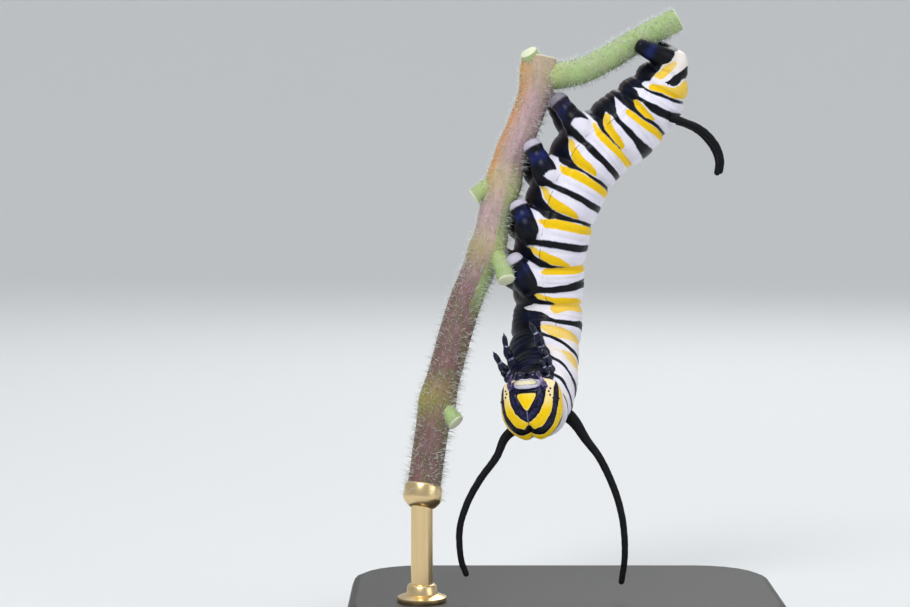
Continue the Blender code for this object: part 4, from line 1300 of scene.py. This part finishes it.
# Each tube's hairs: how many, shortest and longest length, and its corner and size on the unwrap
HAIRS = {
    "stem": (5200, 0.18, 0.70, (0.02, 0.02), (0.50, 0.95)),
    "stalk": (1500, 0.20, 0.55, (0.56, 0.02), (0.18, 0.95)),
    "upper": (300, 0.15, 0.40, (0.78, 0.02), (0.18, 0.20)),
    "middle": (300, 0.15, 0.40, (0.78, 0.26), (0.18, 0.20)),
    "lower": (300, 0.15, 0.40, (0.78, 0.50), (0.18, 0.20)),
    "top": (200, 0.15, 0.40, (0.78, 0.74), (0.18, 0.20)),
}


def stem_ribs(share, turns):
    return 1 + 0.018 * np.cos(turns * 7 + share * 3) + 0.010 * np.cos(turns * 13 + share * 9)


def near_stubs(points, reach):
    """How near the points are to the root of each stub, from 1 at it down to 0."""
    for stub in LEAF_STUBS.values():
        yield bump(np.linalg.norm(points - to_world(stub[0]), axis=1), 0.0, reach)


def stem_tubes():
    path = even_path(to_world(STEM_PATH), 260)
    radii = np.full(len(path), STEM_RADIUS - SKIN_INSET)
    for near in near_stubs(path, 0.9):
        radii += 0.14 * near
    tubes = {"stem": Tube(path, radii, 72, (0.0, 0.0), stem_ribs)}
    size = 0.49 + 0.22 * bump(np.linspace(0, 1, 40), 0.0, 0.3)
    for name, stub in LEAF_STUBS.items():
        tubes[name] = Tube(even_path(to_world(stub), 40), size, 36, (0.0, 0.25))
    return tubes


def build_perch():
    material = stem_material()
    tubes = stem_tubes()
    thick = STALK_RADIUS - SKIN_INSET + 0.10 * np.linspace(1, 0, 120)
    stalk = Tube(even_path(to_world(STALK_PATH), 120), thick, 48, (0.0, 0.0))
    for node, group in (("perch_stem", tubes), ("perch_stalk", {"stalk": stalk})):
        points, faces = join_shapes([tube.shape for tube in group.values()])
        mesh = face_out(mesh_from(node, points, faces))
        share = np.concatenate([tube.share for tube in group.values()])
        stem_parts = [np.full(len(tube.share), name == "stem") for name, tube in group.items()]
        is_stem = np.concatenate(stem_parts)
        rightward = read_rows(mesh.vertices, "normal", 3)[:, 0]
        upper = 1 - smoothstep(0.26, 0.34, share)
        middle = smoothstep(0.22, 0.32, share) * (1 - 0.90 * smoothstep(0.50, 0.62, share))
        green = 0.02 + 0.72 * smoothstep(0.1, 0.7, rightward) * middle
        set_values(
            mesh,
            orange=is_stem * upper * smoothstep(0.15, 0.85, -rightward),
            purple=is_stem * (0.08 + 0.80 * smoothstep(0.36, 0.58, share)),
            green=np.where(is_stem, green, 0.90),
            node=0.65 * np.max(list(near_stubs(points, 1.0)), axis=0),
            cut=np.where(is_stem, share <= 0, share > 0.999) * 1.0,
        )
        place_piece(node, mesh, material, [node])
    tubes["stalk"] = stalk
    build_hairs(tubes)


def build_hairs(tubes):
    """Fine white hairs over the stem, the stubs and the stalk, each a thin solid spike."""
    dice = np.random.default_rng(5)
    corners = []
    patches = []
    for name, (count, short, long, corner, size) in HAIRS.items():
        tube = tubes[name]
        share = dice.uniform(0.005, 0.995, count)
        turn = dice.uniform(0, 2 * math.pi, count)
        spot = np.arange(len(tube.path)) / (len(tube.path) - 1)
        middle = np.stack([np.interp(share, spot, tube.path[:, axis]) for axis in range(3)], 1)
        near = np.round(share * (len(tube.path) - 1)).astype(int)
        side = tube.across[near]
        other = np.cross(tube.along[near], side)
        outward = np.cos(turn)[:, None] * side + np.sin(turn)[:, None] * other
        root = middle + outward * (np.interp(share, spot, tube.radii) - 0.03)[:, None]
        grow = short + (long - short) * dice.beta(1.3, 2.2, count)
        if name == "stem":
            grow *= 0.75 + 0.45 * share
        lean = dice.normal(0, 0.28, (count, 3))
        curl = dice.normal(0, 0.22, (count, 3))
        aim = unit(outward + lean)
        bent = unit(aim + curl)
        wide = unit(np.cross(aim, tube.along[near] + 0.1))
        deep = np.cross(aim, wide)
        rings = []
        for height, thick in ((0.0, HAIR_RADIUS), (0.5, HAIR_RADIUS * 0.7)):
            place = root + aim * (height * grow)[:, None]
            for step in range(3):
                angle = 2 * math.pi * step / 3
                rings.append(place + thick * (math.cos(angle) * wide + math.sin(angle) * deep))
        rings.append(root + (aim * 0.5 + bent * 0.5) * grow[:, None])
        corners.append(np.stack(rings, 1).reshape(-1, 3))
        home = np.stack([corner[0] + size[0] * turn / (2 * math.pi), corner[1] + size[1] * share], 1)
        within = np.array([(0, 0), (0.5, 0), (1, 0), (0, 0.5), (0.5, 0.5), (1, 0.5), (0.5, 1)])
        patches.append((home[:, None] + HAIR_PATCH * within[None]).reshape(-1, 2))
    points = np.concatenate(corners)
    spike = [(0, 1, 4, 3), (1, 2, 5, 4), (2, 0, 3, 5), (3, 4, 6), (4, 5, 6), (5, 3, 6), (2, 1, 0)]
    faces = [
        tuple(start + corner for corner in face) for start in range(0, len(points), 7) for face in spike
    ]
    mesh = face_out(mesh_from("perch_hairs", points, faces))
    unwrap = mesh.uv_layers.new(name="OFBake")
    used = read_rows(mesh.loops, "vertex_index", 1, int)[:, 0]
    unwrap.data.foreach_set("uv", np.concatenate(patches)[used].astype(np.float32).ravel())
    place_piece("perch_hairs", mesh, hair_material())


# Stand

def turned(foot, axis, outline, sides=64):
    """A shape turned about an axis, from its (height, radius) outline."""
    axis = unit(np.asarray(axis, float))
    across = unit(np.cross(axis, (0.0, 1.0, 0.0)))
    other = np.cross(axis, across)
    turns = ring_turns(sides)
    ring = np.cos(turns)[:, None] * across + np.sin(turns)[:, None] * other
    points = np.concatenate([foot + axis * height + radius * ring for height, radius in outline])
    return points, ring_faces(len(outline), sides)


# The collars' outlines: height and radius
FLANGE = [(0.0, 1.30), (0.10, 1.36), (0.26, 1.34), (0.36, 1.10), (0.44, 0.86), (0.85, 0.80),
          (0.95, 0.72), (0.98, 0.60)]
CUP = [(-0.78, 0.86), (-0.80, 0.99), (-0.74, 1.04), (-0.66, 1.05), (-0.06, 1.05), (0.06, 1.00),
       (0.30, 0.80), (0.42, 0.60)]
SHARP_FROM = math.radians(40)


def dress_stand():
    metal = rod_material()
    for node, material in (("stand_base", base_material()), ("stand_rod", metal)):
        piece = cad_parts[node]
        piece.data.materials.clear()
        piece.data.materials.append(material)
        piece.data.shade_smooth()
        piece.data.set_sharp_from_angle(angle=SHARP_FROM)
    before, end = to_world(STEM_PATH[-2:])
    foot = np.array([end[0], end[1], BASE_THICKNESS])
    shapes = [turned(foot, (0.0, 0.0, 1.0), FLANGE), turned(end, end - before, CUP)]
    collars = place_shapes("stand_collars", shapes, metal)
    collars.set_sharp_from_angle(angle=SHARP_FROM)


# Studio

FLOOR_SIDES = 96
# The middle of what the lamps light, in metres
TARGET = Vector((0.0, 0.0, 0.018))
# Each lamp's place and size in metres, and its power in watts
LAMPS = {
    "key": ((-0.07, -0.16, 0.20), 0.09, 0.34),
    "fill": ((0.20, -0.12, 0.10), 0.14, 0.10),
    "back": ((0.04, 0.18, 0.16), 0.12, 0.14),
    "ceiling": ((0.0, 0.15, 0.95), 1.2, 3.2),
}


def pale_floor():
    """A pale floor that rises into a backdrop far off, with no edge in view."""
    reach = np.concatenate([[0.0001, 0.1, 0.2, 0.3], np.linspace(0.35, 1.0, 24)])
    height = 0.8 * np.clip((reach - 0.35) / 0.65, 0, 1) ** 2
    points = [
        (r * math.cos(turn), r * math.sin(turn), z)
        for r, z in zip(reach, height)
        for turn in ring_turns(FLOOR_SIDES)
    ]
    faces = ring_faces(len(reach), FLOOR_SIDES, capped=False) + [tuple(range(FLOOR_SIDES))]
    mesh = bpy.data.meshes.new("floor")
    mesh.from_pydata(points, [], faces)
    mesh.shade_smooth()
    mesh.materials.append(Finish("floor", 0.8).done((0.66, 0.67, 0.67)))
    add_object("floor", mesh)


def set_up_studio():
    pale_floor()
    bpy.context.scene.view_settings.view_transform = "Standard"
    world = bpy.data.worlds.new("studio")
    bpy.context.scene.world = world
    world.use_nodes = True
    background = world.node_tree.nodes["Background"]
    background.inputs["Color"].default_value = (0.90, 0.94, 1.0, 1)
    background.inputs["Strength"].default_value = 0.55
    for name, (place, size, power) in LAMPS.items():
        light = bpy.data.lights.new(name, "AREA")
        light.size = size
        light.energy = power
        lamp = add_object(name, light)
        lamp.location = place
        lamp.rotation_euler = (TARGET - Vector(place)).to_track_quat("-Z", "Y").to_euler()


def set_up_camera():
    lens = bpy.data.cameras.new("camera")
    lens.lens = LENS
    lens.sensor_width = SENSOR
    lens.clip_start = 0.01
    lens.clip_end = 20.0
    camera = add_object("camera", lens)
    camera.location = Vector(to_world((0.0, 0.0, -VIEW_DISTANCE)) * MM)
    camera.rotation_euler = (math.radians(90) - VIEW_PITCH, 0, 0)
    bpy.context.scene.camera = camera


set_up_studio()
set_up_camera()
build_skin()
build_head()
build_legs()
build_filaments()
build_perch()
dress_stand()
